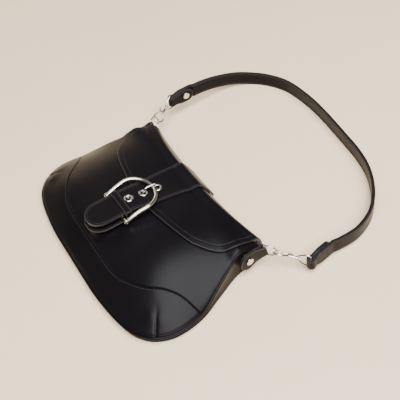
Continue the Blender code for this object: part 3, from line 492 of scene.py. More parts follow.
def snap_seat_height():
    return tab_bottom_height - gap - snap_stud_plate - gap - snap_socket_height - gap


def fold_point(x):
    """Outermost line of the fold where the flap turns over the mouth."""
    share = (x / fold_half_width) ** 2
    return fold_middle_y + fold_corner_rise * share, fold_middle_z - fold_corner_drop * share


def blend_patch(low, high, left, right, shares):
    """Rows of points inside four edges; low and high run left to right, left and right run upwards."""
    rows = []
    for v, left_point, right_point in zip(shares, resample(left, shares), resample(right, shares)):
        row = []
        for i, u in enumerate(np.linspace(0, 1, len(low))):
            ruled = (1 - v) * low[i] + v * high[i] + (1 - u) * left_point + u * right_point
            corners = (1 - v) * ((1 - u) * low[0] + u * low[-1]) + v * ((1 - u) * high[0] + u * high[-1])
            row.append(ruled - corners)
        rows.append(row)
    return rows


def flipped(line):
    """A flat line on the other side of the bag."""
    return line * np.array((-1.0, 1.0))


def mirrored(half):
    """A half curve that starts at the middle, made whole from left to right."""
    return np.vstack((flipped(half[::-1])[:-1], half))


def inset(line, distance):
    """A flat line moved to its left by the distance."""
    slopes = unit_slopes(line)
    return line + np.stack((-slopes[:, 1], slopes[:, 0]), 1) * distance


def round_corners(points, passes=corner_passes, cyclic=False):
    """Cuts each corner of a line a quarter of the way along, as often as passes says."""
    points = [Vector(point) for point in points]
    for _ in range(passes):
        pairs = zip(points, points[1:] + points[:1]) if cyclic else zip(points, points[1:])
        cut = []
        for a, b in pairs:
            cut += [a.lerp(b, corner_cut_share), b.lerp(a, corner_cut_share)]
        points = cut if cyclic else [points[0], *cut, points[-1]]
    return points


# Making meshes


def link(name, mesh, looks):
    thing = bpy.data.objects.new(name, mesh)
    for look in looks:
        mesh.materials.append(look)
    bpy.context.scene.collection.objects.link(thing)
    return thing


def add_mesh(name, bm, looks):
    bmesh.ops.recalc_face_normals(bm, faces=bm.faces)
    mesh = bpy.data.meshes.new(name)
    bm.to_mesh(mesh)
    bm.free()
    return link(name, mesh, looks)


def smooth(thing):
    for face in thing.data.polygons:
        face.use_smooth = True
    thing.data.set_sharp_from_angle(angle=sharp_angle)


def apply_modifiers(thing):
    """Turns the shown shape, modifiers included, into the object's own mesh."""
    bpy.context.view_layer.update()
    shown = thing.evaluated_get(bpy.context.evaluated_depsgraph_get())
    mesh = bpy.data.meshes.new_from_object(shown)
    thing.modifiers.clear()
    thing.data = mesh


def bevel(thing, width):
    """Rounds every sharp edge."""
    corner = thing.modifiers.new("Rounded edge", "BEVEL")
    corner.width = width
    corner.segments = rounded_edge_steps
    corner.limit_method = "ANGLE"
    corner.angle_limit = sharp_angle
    apply_modifiers(thing)


def distances(places, lines):
    """Distance from each place to the nearest of the lines."""
    nearest = np.full(len(places), np.inf)
    for line in lines:
        line = np.array([tuple(point) for point in line], float)
        for start, end in zip(line, line[1:]):
            span = end - start
            length = max(float(span @ span), point_span)
            share = np.clip((places - start) @ span / length, 0, 1)
            away = np.linalg.norm(places - start - share[:, None] * span, axis=1)
            nearest = np.minimum(nearest, away)
    return nearest


def note_distance(mesh, name, lines):
    """Keeps with each point of the mesh its distance to the lines, in millimetres."""
    places = np.empty(len(mesh.vertices) * 3)
    mesh.vertices.foreach_get("co", places)
    values = distances(places.reshape(-1, 3), lines) / millimetre
    mesh.attributes.new(name, "FLOAT", "POINT").data.foreach_set("value", values.astype(np.float32))


def border(rows):
    """The rows' outer edge, as four lines."""
    return [rows[0], rows[-1], *side_borders(rows)]


def side_borders(rows):
    return [[row[0] for row in rows], [row[-1] for row in rows]]


def last_ring(rows):
    """The last of the closed rows, as the only edge."""
    return [rows[-1] + rows[-1][:1]]


def skin(name, rows, thickness, outward, looks, closed=False, floor_face=False, edges=None, seams=()):
    """A piece of leather or cloth through rows of points, thickened to the side that outward points to.

    Its looks are those of the outer face, the cut edge and the inner face."""
    bm = bmesh.new()
    grid = [[bm.verts.new(point) for point in row] for row in rows]
    columns = len(grid[0])
    for low, high in zip(grid, grid[1:]):
        for index in range(columns if closed else columns - 1):
            after = (index + 1) % columns
            bm.faces.new((low[index], low[after], high[after], high[index]))
    if floor_face:
        bm.faces.new(grid[0])
    bmesh.ops.recalc_face_normals(bm, faces=bm.faces)
    bm.normal_update()
    middle = bm.faces[:][-1 if floor_face else len(bm.faces) // 2]
    if middle.normal.dot(Vector(outward(middle.calc_center_median()))) < 0:
        bmesh.ops.reverse_faces(bm, faces=bm.faces)
    mesh = bpy.data.meshes.new(name)
    bm.to_mesh(mesh)
    bm.free()
    note_distance(mesh, "edge_mm", border(rows) if edges is None else edges)
    if seams:
        note_distance(mesh, "seam_mm", seams)
    thing = link(name, mesh, looks)
    body = thing.modifiers.new("Thickness", "SOLIDIFY")
    body.thickness = thickness
    body.offset = 1.0
    body.use_even_offset = True
    body.material_offset_rim = 1
    bevel(thing, thickness * rounded_edge_share)
    if len(looks) > 2:
        for face in thing.data.polygons:
            if face.material_index == 0 and face.normal.dot(Vector(outward(face.center))) < 0:
                face.material_index = 2
    smooth(thing)
    return thing


def curve_line(data, points, cyclic):
    line = data.splines.new("POLY")
    line.points.add(len(points) - 1)
    for spot, point in zip(line.points, points):
        spot.co = (*point, 1.0)
    line.use_cyclic_u = cyclic


def curve_as_mesh(name, data, weld, looks):
    """Turns a curve into a closed mesh object, its caps welded to its sides."""
    guide = bpy.data.objects.new(name + "_curve", data)
    bpy.context.scene.collection.objects.link(guide)
    bpy.context.view_layer.update()
    mesh = bpy.data.meshes.new_from_object(guide.evaluated_get(bpy.context.evaluated_depsgraph_get()))
    bpy.data.objects.remove(guide)
    bm = bmesh.new()
    bm.from_mesh(mesh)
    bpy.data.meshes.remove(mesh)
    bmesh.ops.remove_doubles(bm, verts=bm.verts, dist=weld)
    return add_mesh(name, bm, looks)


def tube(name, points, radius, look, cyclic=False):
    """A round wire along the points."""
    data = bpy.data.curves.new(name, "CURVE")
    data.dimensions = "3D"
    data.bevel_depth = radius
    data.bevel_resolution = (wire_sides - 4) // 2
    data.use_fill_caps = True
    curve_line(data, points, cyclic)
    thing = curve_as_mesh(name, data, radius * weld_share, [look])
    smooth(thing)
    return thing


def rod(name, radius, start, end, look):
    """A solid cylinder between two points."""
    start = Vector(start)
    span = Vector(end) - start
    bm = bmesh.new()
    bmesh.ops.create_cone(bm, cap_ends=True, segments=round_sides, radius1=radius, radius2=radius,
                          depth=span.length)
    turn = span.to_track_quat("Z", "Y").to_matrix().to_4x4()
    bmesh.ops.transform(bm, matrix=Matrix.Translation(start + span / 2) @ turn, verts=bm.verts)
    thing = add_mesh(name, bm, [look])
    smooth(thing)
    return thing


def block(name, low, high, look):
    low, high = Vector(low), Vector(high)
    bm = bmesh.new()
    bmesh.ops.create_cube(bm, size=1.0)
    size = Matrix.Diagonal((*(high - low), 1.0))
    bmesh.ops.transform(bm, matrix=Matrix.Translation((low + high) / 2) @ size, verts=bm.verts)
    return add_mesh(name, bm, [look])


def turned(name, profile, look):
    """A shape turned about Z from a profile of radius and height pairs, running down its outer side."""
    bm = bmesh.new()
    places = [bm.verts.new((radius, 0.0, height)) for radius, height in profile]
    for first, second in zip(places, places[1:]):
        bm.edges.new((first, second))
    thing = add_mesh(name, bm, [look])
    spin = thing.modifiers.new("Turn", "SCREW")
    spin.steps = round_sides
    spin.render_steps = round_sides
    spin.use_merge_vertices = True
    spin.merge_threshold = gap * weld_share
    apply_modifiers(thing)
    smooth(thing)
    return thing


def round_edges(thing, width):
    """Breaks the sharp edges of a metal piece, as polishing does."""
    bevel(thing, width)
    smooth(thing)


def combine(thing, other, operation):
    """Unites the other mesh with this one, or cuts it away, and removes the other."""
    change = thing.modifiers.new("Combine", "BOOLEAN")
    change.operation = operation
    change.solver = "EXACT"
    change.object = other
    apply_modifiers(thing)
    bpy.data.objects.remove(other)


def join_rod(thing, radius, ends, look, broken_edge):
    """Unites a turned piece between two points with this one, its edges broken."""
    part = rod("turned_part", radius, *ends, look)
    round_edges(part, broken_edge)
    combine(thing, part, "UNION")


def drill(thing, radius, ends, look):
    """A hole in which a pin of the radius turns freely."""
    combine(thing, rod("hole", radius + bore_clearance, *ends, look), "DIFFERENCE")


def place(thing, matrix):
    """Moves a mesh by the matrix, keeping the object's own origin at the world's."""
    thing.data.transform(matrix)


def frame_matrix(origin, x_axis, y_axis, z_axis):
    """A move to the origin that turns X, Y and Z onto the three axes."""
    return Matrix.Translation(origin) @ Matrix((x_axis, y_axis, z_axis)).transposed().to_4x4()


def stitches(name, line, out, look):
    """A row of saddle stitches along a line of points; out gives the leather's face at each point.

    Each stitch is a short thread that dives into the leather at both ends."""
    line = np.array([tuple(point) for point in line], float)
    count = max(int(round(line_length(line) / stitch_pitch)), 1)
    half = stitch_share / 2
    thread_rings = len(thread_rise_shares)
    bm = bmesh.new()
    for index in range(count):
        centres = resample(line, (index + 0.5 + np.linspace(-half, half, thread_rings)) / count)
        along = Vector(centres[-1] - centres[0]).normalized()
        normal = Vector(out(Vector(centres[thread_rings // 2]))).normalized()
        side = along.cross(normal).normalized()
        rings = []
        for rise, centre in zip(thread_rise_shares, centres):
            middle = Vector(centre) + normal * (thread_radius * rise)
            ring = []
            for step in range(thread_sides):
                angle = 2 * math.pi * step / thread_sides
                around = normal * math.cos(angle) + side * math.sin(angle)
                ring.append(bm.verts.new(middle + around * thread_radius))
            rings.append(ring)
        for low, high in zip(rings, rings[1:]):
            for step in range(thread_sides):
                after = (step + 1) % thread_sides
                bm.faces.new((low[step], low[after], high[after], high[step]))
        bm.faces.new(rings[0][::-1])
        bm.faces.new(rings[-1])
    thing = add_mesh(name, bm, [look])
    for face in thing.data.polygons:
        face.use_smooth = True
    return thing


def settle(thing, body, nodes=()):
    """Moves a finished piece to its place in the room and hangs it on the body it moves with."""
    place(thing, Matrix.Translation((0, -bag_height / 2, 0)))
    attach(thing, body)
    if nodes:
        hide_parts(*nodes)
    return thing


# Bag body


def up(_):
    return Vector((0, 0, 1))


def down(_):
    return Vector((0, 0, -1))


def inward_flat(point):
    return Vector((-point[0], bag_height / 2 - point[1], 0))


def front_top_y(x):
    """Top edge of the front, under the flap."""
    reach = min(abs(x), half_width(bag_height))
    return fold_point(reach)[0] - front_edge_setback


def seam_curve(shift):
    """Seam between the front panel and its yoke, moved up or down by the shift."""
    sizes = np.array((bag_half_width, bag_height))
    half = spline(np.array(seam_shares) * sizes, across // 2)
    half[:, 1] += shift
    half[-1, 0] = half_width(half[-1, 1])
    return mirrored(half)


def side_curve(y_start, y_end, count):
    between = OUTLINE[(OUTLINE[:, 1] > y_start) & (OUTLINE[:, 1] < y_end)]
    first = (half_width(y_start), y_start)
    last = (half_width(y_end), y_end)
    return resample(np.vstack((first, between, last)), np.linspace(0, 1, count))


def flat_lines(lines):
    return [[(point[0], point[1], 0.0) for point in line] for line in lines]


def dart_lines():
    ends = (dart_apex, dart_foot)
    return [[(side * x, y) for x, y in ends] for side in side_sign.values()]


def slack(x, y):
    """Broad hollows and swells of the filled leather."""
    risen = 0.0
    for centre_x, centre_y, reach, rise in soft_places:
        away = math.hypot(x - centre_x, y - centre_y) / reach
        risen += rise * math.exp(-(away**2))
    return risen


def dart_shape(x, y):
    """The dart's groove, with the leather full on both sides of it and puckered at its point."""
    apex = np.array(dart_apex)
    run = np.array(dart_foot) - apex
    length = float(np.linalg.norm(run))
    run /= length
    from_apex = np.array((abs(x), y)) - apex
    along = float(from_apex @ run)
    aside = abs(float(run[0] * from_apex[1] - run[1] * from_apex[0]))
    open_share = smoothstep(along / length + dart_fade_share)
    groove = dart_depth * open_share * math.exp(-((aside / dart_half_width) ** 2))
    beside = (aside - dart_pucker_reach / 2) / dart_pucker_reach
    full = dart_pucker * math.exp(-(beside**2 + ((along - length / 3) / dart_pucker_reach) ** 2))
    return full - groove


def lay_soft(rows):
    """Rows of places on the front, raised to the leather's real surface with its rolled seams and darts."""
    flat = np.array([(x, y, 0.0) for row in rows for x, y in row])
    edge = mirrored(OUTLINE)
    from_seam = distances(flat, flat_lines([seam_curve(0.0)]))
    from_edge = distances(flat, flat_lines([edge]))
    drop = seam_roll_depth * np.exp(-((from_seam / seam_roll_width) ** 2))
    drop += piping_roll_depth * np.exp(-((from_edge / piping_roll_width) ** 2))
    laid = []
    index = 0
    for row in rows:
        points = []
        for x, y in row:
            soft = smoothstep(from_edge[index] / soft_edge_reach) * slack(x, y) + dart_shape(x, y)
            points.append((x, y, front_height(x, y) + soft - drop[index]))
            index += 1
        laid.append(points)
    return laid


def crowded(count):
    """Shares from 0 to 1 that crowd towards both ends."""
    even = np.linspace(0, 1, count)
    return even - crowding * np.sin(2 * math.pi * even) / (2 * math.pi)


def make_back_panel(looks):
    """The flat back, its edge caught in the seam all round."""
    edge = mirrored(half_outline(bag_height, across))
    top = np.linspace(edge[-1], edge[0], arc_steps)[1:-1]
    ring = np.vstack((edge, top))
    centre = np.array((0.0, bag_height / 2))
    rings = []
    for share in (back_inner_share, *np.linspace(back_inner_share, 1, arc_steps // 2)[1:]):
        rings.append([(x, y, 0.0) for x, y in centre + (ring - centre) * share])
    return skin("back_panel_leather", rings, leather, up, looks, closed=True, floor_face=True,
                edges=last_ring(rings))


def make_gusset(looks):
    """The side wall, drawn in along its middle and lightly puckered where it turns the bottom corners."""
    low_z = leather + gap
    back_y = bag_height - mouth_back_setback
    front_y = front_top_y(bag_half_width)
    rows = []
    for share in np.linspace(0, 1, arc_steps // 2):
        line = mirrored(half_outline(back_y + (front_y - back_y) * share, across))
        row = []
        for index, ((x, y), slope) in enumerate(zip(line, unit_slopes(line))):
            from_corner = math.hypot(abs(x) - corner_x, y - corner_y) / corner_reach
            turn = math.exp(-(from_corner**2))
            pucker = gusset_pucker * turn * math.cos(math.pi * index)
            pinch = (gusset_pinch + pucker) * math.sin(math.pi * share)
            x -= slope[1] * pinch
            y += slope[0] * pinch
            high_z = edge_height(x, y) - piping_radius - gap
            row.append((x, y, low_z + (high_z - low_z) * share))
        rows.append(row)
    return skin("gusset_leather", rows, leather, inward_flat, looks)


def make_piping(look):
    """A cord in a leather strip, sewn in between the front and the gusset."""
    curve = mirrored(half_outline(front_top_y(bag_half_width), across * 2))
    points = [(x, y, edge_height(x, y)) for x, y in curve]
    return tube("piping_cord", points, piping_radius, look)


def front_seams():
    lines = []
    for line in (seam_curve(0.0), *dart_lines()):
        lines.append([(x, y, front_height(x, y)) for x, y in resample(line, np.linspace(0, 1, across))])
    return lines


def make_front_panel(looks):
    low = seam_curve(seam_gap / 2)
    top_half = half_width(front_top_y(bag_half_width))
    high = np.array([(x, front_top_y(x)) for x in np.linspace(-top_half, top_half, len(low))])
    right = side_curve(low[-1, 1], high[-1, 1], across)
    left = flipped(right)
    rows = lay_soft(blend_patch(low, high, left, right, crowded(front_rows)))
    return skin("front_panel_leather", rows, leather, down, looks, seams=front_seams())


def make_front_yoke(looks):
    high = seam_curve(-seam_gap / 2)
    low = mirrored(half_outline(high[-1, 1] - yoke_end_length, len(high) // 2 + 1))
    low, high = (resample(line, np.linspace(0, 1, yoke_columns)) for line in (low, high))
    rows = [low + (high - low) * share for share in crowded(yoke_rows)]
    return skin("front_yoke_leather", lay_soft(rows), leather, down, looks, seams=front_seams())


def make_yoke_stitches(look):
    """Topstitching along the yoke, just under its seam."""
    line = seam_curve(-yoke_line_inset)[2:-2]
    points = [(x, y, front_height(x, y) + slack(x, y) + dart_shape(x, y)) for x, y in line]
    return stitches("yoke_topstitching", points, up, look)


def make_dart_stitches(look):
    """The seam that closes each dart, pulled tight into its groove."""
    made = []
    for name, line in zip(side_sign, dart_lines()):
        places = resample(line, np.linspace(dart_fade_share, 1 - dart_fade_share, arc_steps))
        points = [(x, y, front_height(x, y) + dart_shape(x, y)) for x, y in places]
        made.append(stitches(f"dart_stitches_{name}", points, up, look))
    return made


def squared(value):
    """Pulls a cosine or sine outwards, so that a ring of them has squarer corners."""
    return math.copysign(abs(value) ** lining_square_share, value)


def make_lining(looks):
    """A bag of cloth within the bag, hanging in soft folds."""
    wall = leather + gap
    low_y = edge_height_bottom + wall + lining_floor_slack
    back_top = bag_height - mouth_back_setback
    rows = []
    for share in np.linspace(0, 1, arc_steps * 2):
        row = []
        for step in range(across):
            angle = 2 * math.pi * step / across
            across_share = squared(math.cos(angle))
            high_share = (1 + squared(math.sin(angle))) / 2
            front_top = front_top_y(across_share * half_width(back_top)) - leather
            y = low_y + (back_top + (front_top - back_top) * high_share - low_y) * share
            inner_half = min(half_width(y), half_width(y - wall)) - wall - lining_slack
            fold = math.sin(angle * lining_folds + share * math.pi) * math.sin(math.pi * share)
            x = across_share * (inner_half - lining_fold_depth * (1 + fold) / 2)
            high_z = min(dome_height(x, y), front_height(x, y)) - wall - lining_front_slack
            z = wall + (high_z - wall) * high_share
            z -= lining_fold_depth * (1 + fold) * high_share * math.sin(math.pi * share)
            row.append((x, y, z))
        rows.append(row)
    return skin("lining_cloth", rows, lining_cloth, lambda _: Vector((0, 1, 0)), looks, closed=True,
                floor_face=True, edges=last_ring(rows))


# Flap and closure belt


def flap_profile(x, lift):
    """Inner line of the flap over the mouth at one place across, raised by lift along its normal."""
    fold_y, fold_z = fold_point(x)
    front_y = fold_y - fold_front_setback
    fold_y -= flap_leather
    front_z = front_height(x, front_y) + flap_lift
    next_y = front_y - fold_front_setback * (flap_front_start_share - 1)
    next_z = front_height(x, next_y) + flap_lift
    hinge_y = bag_height + hinge_clearance
    points = [
        (hinge_y, gap),
        ((hinge_y + fold_y) / 2 + flap_bulge, fold_z / 2),
        (fold_y, fold_z),
        ((fold_y + front_y) / 2 + flap_bulge, (fold_z + front_z) / 2 + flap_bulge),
        (front_y, front_z),
        (next_y, next_z),
    ]
    return inset(spline(points, flap_profile_steps), -lift)


def flap_height(x, y, lift):
    """Inner surface of the flap over the front, raised by lift along its normal."""
    step = leather
    slope_x = (front_height(x + step, y) - front_height(x - step, y)) / (2 * step)
    slope_y = (front_height(x, y + step) - front_height(x, y - step)) / (2 * step)
    return front_height(x, y) + flap_lift + lift * math.sqrt(1 + slope_x**2 + slope_y**2)


def flap_edges():
    """Side and lower edges of the flap's front, right half, each as points of X and Y."""
    top_y = fold_point(fold_half_width)[0] - fold_front_setback * flap_front_start_share
    side = np.array([(fold_half_width * a, top_y - flap_drop * b) for a, b in flap_side_shares])
    low = np.array([(fold_half_width * a, top_y - flap_drop * b) for a, b in flap_low_shares])
    return spline(side, arc_steps * 2)[::-1], spline(low, across // 2 + 1)[::-1]


def flap_outward(point):
    """Away from the bag's front, and up the bag over the fold."""
    return Vector((0, point[1] - bag_height / 2, point[2] + bag_height * flap_outward_share))


def make_flap(looks):
    right, low_half = flap_edges()
    left = flipped(right)
    low = mirrored(low_half)
    places = np.linspace(-fold_half_width, fold_half_width, len(low))
    profiles = [flap_profile(x, 0.0) for x in places]
    high = np.array([(x, profile[-1][0]) for x, profile in zip(places, profiles)])
    patch = blend_patch(low, high, left, right, np.linspace(0, 1, flap_front_rows))[:-1]
    rows = [[(x, y, flap_height(x, y, 0.0)) for x, y in row] for row in patch]
    for step in range(flap_profile_steps - 1, -1, -1):
        drawn_in = flap_hinge_setback * (1 - step / flap_profile_steps)
        narrow = 1 - drawn_in / fold_half_width
        rows.append([(x * narrow, *profile[step]) for x, profile in zip(places, profiles)])
    free = [rows[0], *side_borders(rows)]
    return skin("flap_leather", rows, flap_leather, flap_outward, looks, edges=free)


def flap_stitch_line():
    """A line a set distance inside the flap's free edge, from the hinge round to the hinge."""
    right, low_half = flap_edges()
    left = flipped(right)
    around = np.vstack((left[::-1], mirrored(low_half)[1:-1], right))
    around = inset(around, flap_line_inset)
    front = [(x, y, flap_height(x, y, flap_leather)) for x, y in around]
    reach = fold_half_width - flap_line_inset
    over_fold = [(reach, *point) for point in flap_profile(reach, flap_leather)]
    start_y = front[-1][1]
    kept = [point for point in over_fold if point[1] > start_y or point[2] < front[-1][2]]
    fold_left = [(-x, y, z) for x, y, z in kept]
    return fold_left + front + kept[::-1]


def make_flap_stitches(look):
    return stitches("flap_stitches", flap_stitch_line(), flap_outward, look)


def belt_half_width(y):
    share = (y - keeper_low_y) / (fold_middle_y - keeper_low_y)
    return belt_half_width_keeper + (belt_half_width_top - belt_half_width_keeper) * smoothstep(share)


def belt_height(x, y):
    """Inner surface of the closure belt: on the flap above, flat over the buckle's tab below."""
    on_flap = flap_height(x, y, flap_leather) + gap
    share = smoothstep((belt_leave_y - y) / (belt_leave_y - belt_flat_y))
    return on_flap + (belt_flat_height - on_flap) * share


def round_end(tip_y, half):
    """Places up the round end of a strap, each as Y and half width, from the tip."""
    angles = np.linspace(tip_start_angle, math.pi / 2, arc_steps)
    return [(tip_y + half * (1 - math.cos(angle)), half * math.sin(angle)) for angle in angles]


def eyelet_places():
    return [eyelet_first_y + eyelet_spacing * index for index in range(len(eyelet_names))]


def eyelet_frame(y):
    """On the belt's inner surface, tilted with the belt."""
    slope = (belt_height(0, y + leather) - belt_height(0, y - leather)) / (2 * leather)
    return Matrix.Translation((0, y, belt_height(0, y))) @ Matrix.Rotation(math.atan(slope), 4, "X")


def belt_start():
    return int(flap_profile_steps * belt_back_y_share)


def make_closure_belt(looks):
    shares = np.linspace(-1, 1, belt_columns)
    places = shares * belt_half_width_top
    profiles = [flap_profile(x, flap_leather + gap) for x in places]
    rows = []
    for step in range(belt_start(), flap_profile_steps):
        rows.append([(x, *profile[step]) for x, profile in zip(places, profiles)])
    start_y = min(point[1] for point in rows[-1])
    tip = round_end(belt_tip_y, belt_half_width_keeper)[::-1]
    front = [(y, belt_half_width(y)) for y in np.linspace(start_y, tip[0][0], belt_front_rows)[1:-1]]
    for y, half in front + tip:
        rows.append([(share * half, y, belt_height(share * half, y)) for share in shares])
    belt = skin("closure_belt_leather", rows, belt_leather, flap_outward, looks)
    for y in eyelet_places():
        hole = eyelet_hole_radius + eyelet_barrel_wall + gap
        cut = rod("hole", hole, (0, 0, -belt_leather), (0, 0, belt_leather * 2), looks[1])
        place(cut, eyelet_frame(y))
        combine(belt, cut, "DIFFERENCE")
    smooth(belt)
    return belt


def make_belt_stitches(look):
    """Stitched all round, a set distance inside the belt's edge."""
    half_line = []
    top = belt_half_width_top - belt_line_inset
    lift = flap_leather + gap + belt_leather
    for point in flap_profile(top, lift)[belt_start() + 1 :]:
        half_line.append((top, *point))
    radius = belt_half_width_keeper - belt_line_inset
    centre_y = belt_tip_y + belt_half_width_keeper
    for y in np.linspace(half_line[-1][1], centre_y, belt_front_rows)[1:]:
        x = belt_half_width(y) - belt_line_inset
        half_line.append((x, y, belt_height(x, y) + belt_leather))
    for x, y in arc(0, centre_y, radius, -radius, 0, math.pi / 2)[1:]:
        half_line.append((x, y, belt_height(x, y) + belt_leather))
    whole = half_line + [(-x, y, z) for x, y, z in half_line[-2::-1]]
    return stitches("closure_belt_stitches", whole, flap_outward, look)


def make_eyelets(look):
    low = gap
    top = belt_leather + gap
    inner = eyelet_hole_radius
    outer = inner + eyelet_barrel_wall
    middle = (inner + eyelet_flange_radius) / 2
    half = (eyelet_flange_radius - inner) / 2
    profile = arc(middle, top, half, eyelet_flange, math.pi, 0, arc_steps // 2)
    profile += [(outer, top), (outer, low), (inner, low), (inner, top)]
    made = []
    for name, y in zip(eyelet_names, eyelet_places()):
        eyelet = turned(f"eyelet_ring_{name}", profile, look)
        place(eyelet, eyelet_frame(y))
        made.append((eyelet, f"eyelet_{name}"))
    return made


def tab_ring(shrink):
    """The buckle tab's outline, drawn in by shrink."""
    edge = [(half, y) for y, half in round_end(tab_tip_y, tab_half_width)] + [(tab_half_width, tab_top_y)]
    edge = [(-x, y) for x, y in edge[::-1]] + edge
    middle_y = (tab_tip_y + tab_top_y) / 2
    return [(x * (1 - shrink), middle_y + (y - middle_y) * (1 - shrink)) for x, y in edge]


def make_buckle_tab(looks):
    rings = []
    for share in np.linspace(back_inner_share, 1, arc_steps // 2):
        rings.append([(x, y, tab_bottom_height) for x, y in tab_ring(1 - share)])
    return skin("buckle_tab_leather", rings, tab_leather, up, looks, closed=True, floor_face=True,
                edges=last_ring(rings))


def make_tab_stitches(look):
    radius = tab_half_width - tab_line_inset
    centre_y = tab_tip_y + tab_half_width
    half = [(radius, tab_top_y - tab_line_inset), *arc(0, centre_y, radius, -radius, 0, math.pi / 2)]
    line = half + [(-x, y) for x, y in half[-2::-1]]
    return stitches("buckle_tab_stitches", [(x, y, tab_top()) for x, y in line], up, look)


def tab_top():
    return tab_bottom_height + tab_leather


def make_belt_keeper(looks):
    """An arch over the belt whose feet stand on the tab."""
    low = tab_top() + gap
    high = belt_flat_height + belt_leather + gap
    reach = belt_half_width(keeper_low_y + keeper_length) + gap
    side = reach + gap * 2
    half = [(0.0, high), (reach - keeper_bend, high), (reach, high - gap / 2), (side, high - gap * 2),
            (side, high - keeper_bend), (side, low)]
    arch = round_corners([(-x, 0.0, z) for x, z in half[:0:-1]] + [(x, 0.0, z) for x, z in half])
    rows = []
    for y in np.linspace(keeper_low_y, keeper_low_y + keeper_length, arc_steps // 2):
        rows.append([(point.x, y, point.z) for point in arch])
    return skin("belt_keeper_leather", rows, keeper_leather, up, looks)


# Buckle


def bar_height():
    return tab_top() + gap + prong_knuckle_radius


def make_buckle_bar(look):
    reach = frame_foot_half_width + frame_knuckle_length / 2
    ends = [(x, bar_y, bar_height()) for x in (-reach, reach)]
    bar = rod("buckle_bar_pin", bar_radius, *ends, look)
    round_edges(bar, bar_radius * broken_edge_share)
    return bar


def make_bar_loops(looks):
    """Saddles that hold the buckle's bar down on the tab."""
    inner = bar_radius + gap
    foot = tab_top() + gap
    over = arc(bar_y, bar_height(), inner, inner, math.pi, 0)
    arch = [(bar_y - inner, foot), *over, (bar_y + inner, foot)]
    made = []
    for name, side in side_sign.items():
        places = np.linspace(side * loop_inner_x, side * (loop_inner_x + loop_length), arc_steps // 2)
        rows = [[(x, y, z) for y, z in arch] for x in places]
        loop = skin(f"bar_loop_leather_{name}", rows, loop_leather, up, looks)
        made.append((loop, f"bar_loop_{name}"))
    return made


def frame_arc_height():
    """The arc rests on the upper eyelet's rim."""
    return belt_height(0, frame_top_y) + belt_leather + gap + eyelet_flange + gap + frame_wire_radius


def frame_line():
    """Centre line of the frame from one foot over the arc to the other."""
    rise = frame_top_y - frame_shoulder_y
    bend = arc(0, frame_shoulder_y, frame_half_width, rise, math.pi / 2, 0)
    half = [(0.0, frame_top_y), *bend[1:]]
    half.append(((frame_half_width + frame_foot_half_width) / 2, (frame_shoulder_y + bar_y) / 2))
    half.append((frame_foot_half_width, bar_y))
    line = []
    for x, y in mirrored(spline(half, arc_steps * 2)):
        share = (y - bar_y) / (frame_top_y - bar_y)
        bow = frame_bow * math.sin(math.pi * share)
        line.append((x, y, bar_height() + (frame_arc_height() - bar_height()) * share + bow))
    return line


def make_buckle_frame(look):
    frame_wire = tube("buckle_frame_wire", frame_line(), frame_wire_radius, look)
    half = frame_knuckle_length / 2
    for side in side_sign.values():
        centre = side * frame_foot_half_width
        ends = [(centre + step, bar_y, bar_height()) for step in (-half, half)]
        join_rod(frame_wire, frame_knuckle_radius, ends, look, frame_knuckle_radius * broken_edge_share)
    reach = frame_foot_half_width + frame_knuckle_length
    ends = [(x, bar_y, bar_height()) for x in (-reach, reach)]
    drill(frame_wire, bar_radius, ends, look)
    smooth(frame_wire)
    return frame_wire


def make_buckle_prong(look):
    """Under the belt, up through its middle eyelet and over the frame's arc."""
    hole_y = eyelet_places()[eyelet_names.index("middle")]
    low = bar_height()
    dip_y = hole_y - eyelet_hole_radius - prong_rise_run
    skim = flap_height(0, dip_y, flap_leather) + gap + prong_radius
    belt_low = belt_height(0, hole_y)
    arc = frame_arc_height() + frame_wire_radius + gap + prong_radius
    points = (
        (0, bar_y + prong_knuckle_radius - prong_radius / 2, low),
        (0, (bar_y + dip_y) / 2, low),
        (0, dip_y - eyelet_hole_radius, skim),
        (0, dip_y, skim),
        (0, hole_y - prong_radius / 2, belt_low + prong_radius / 2),
        (0, hole_y + prong_radius, belt_low + belt_leather + eyelet_flange),
        (0, hole_y + prong_radius + eyelet_hole_radius, arc - prong_crook),
        (0, frame_top_y - frame_wire_radius, arc + prong_crook),
        (0, frame_top_y + prong_tip_overhang, arc - prong_crook),
    )
    prong = tube("buckle_prong_wire", spline(points, arc_steps * 3), prong_radius, look)
    tip = ball("tip", prong_radius, points[-1], look)
    combine(prong, tip, "UNION")
    half = prong_knuckle_half_length
    ends = [(step, bar_y, low) for step in (-half, half)]
    combine(prong, rod("knuckle", prong_knuckle_radius, *ends, look), "UNION")
    ends = [(step * 2, bar_y, low) for step in (-half, half)]
    drill(prong, bar_radius, ends, look)
    smooth(prong)
    return prong


def ball(name, radius, centre, look):
    bm = bmesh.new()
    bmesh.ops.create_uvsphere(bm, u_segments=wire_sides, v_segments=wire_sides // 2, radius=radius)
    bmesh.ops.translate(bm, vec=Vector(centre), verts=bm.verts)
    thing = add_mesh(name, bm, [look])
    smooth(thing)
    return thing


# Magnetic snap


def make_snap_socket(look):
    hole = snap_post_radius + snap_post_clearance
    profile = (
        (0.0, snap_socket_floor),
        (hole, snap_socket_floor),
        (hole, snap_socket_height),
        (snap_radius - snap_bevel, snap_socket_height),
        (snap_radius, snap_socket_height - snap_bevel),
        (snap_radius, 0.0),
        (0.0, 0.0),
    )
    socket = turned("snap_socket_shell", profile, look)
    round_edges(socket, snap_socket_height * broken_edge_share / 2)
    place(socket, Matrix.Translation((0, snap_y, snap_seat_height() + gap)))
    return socket


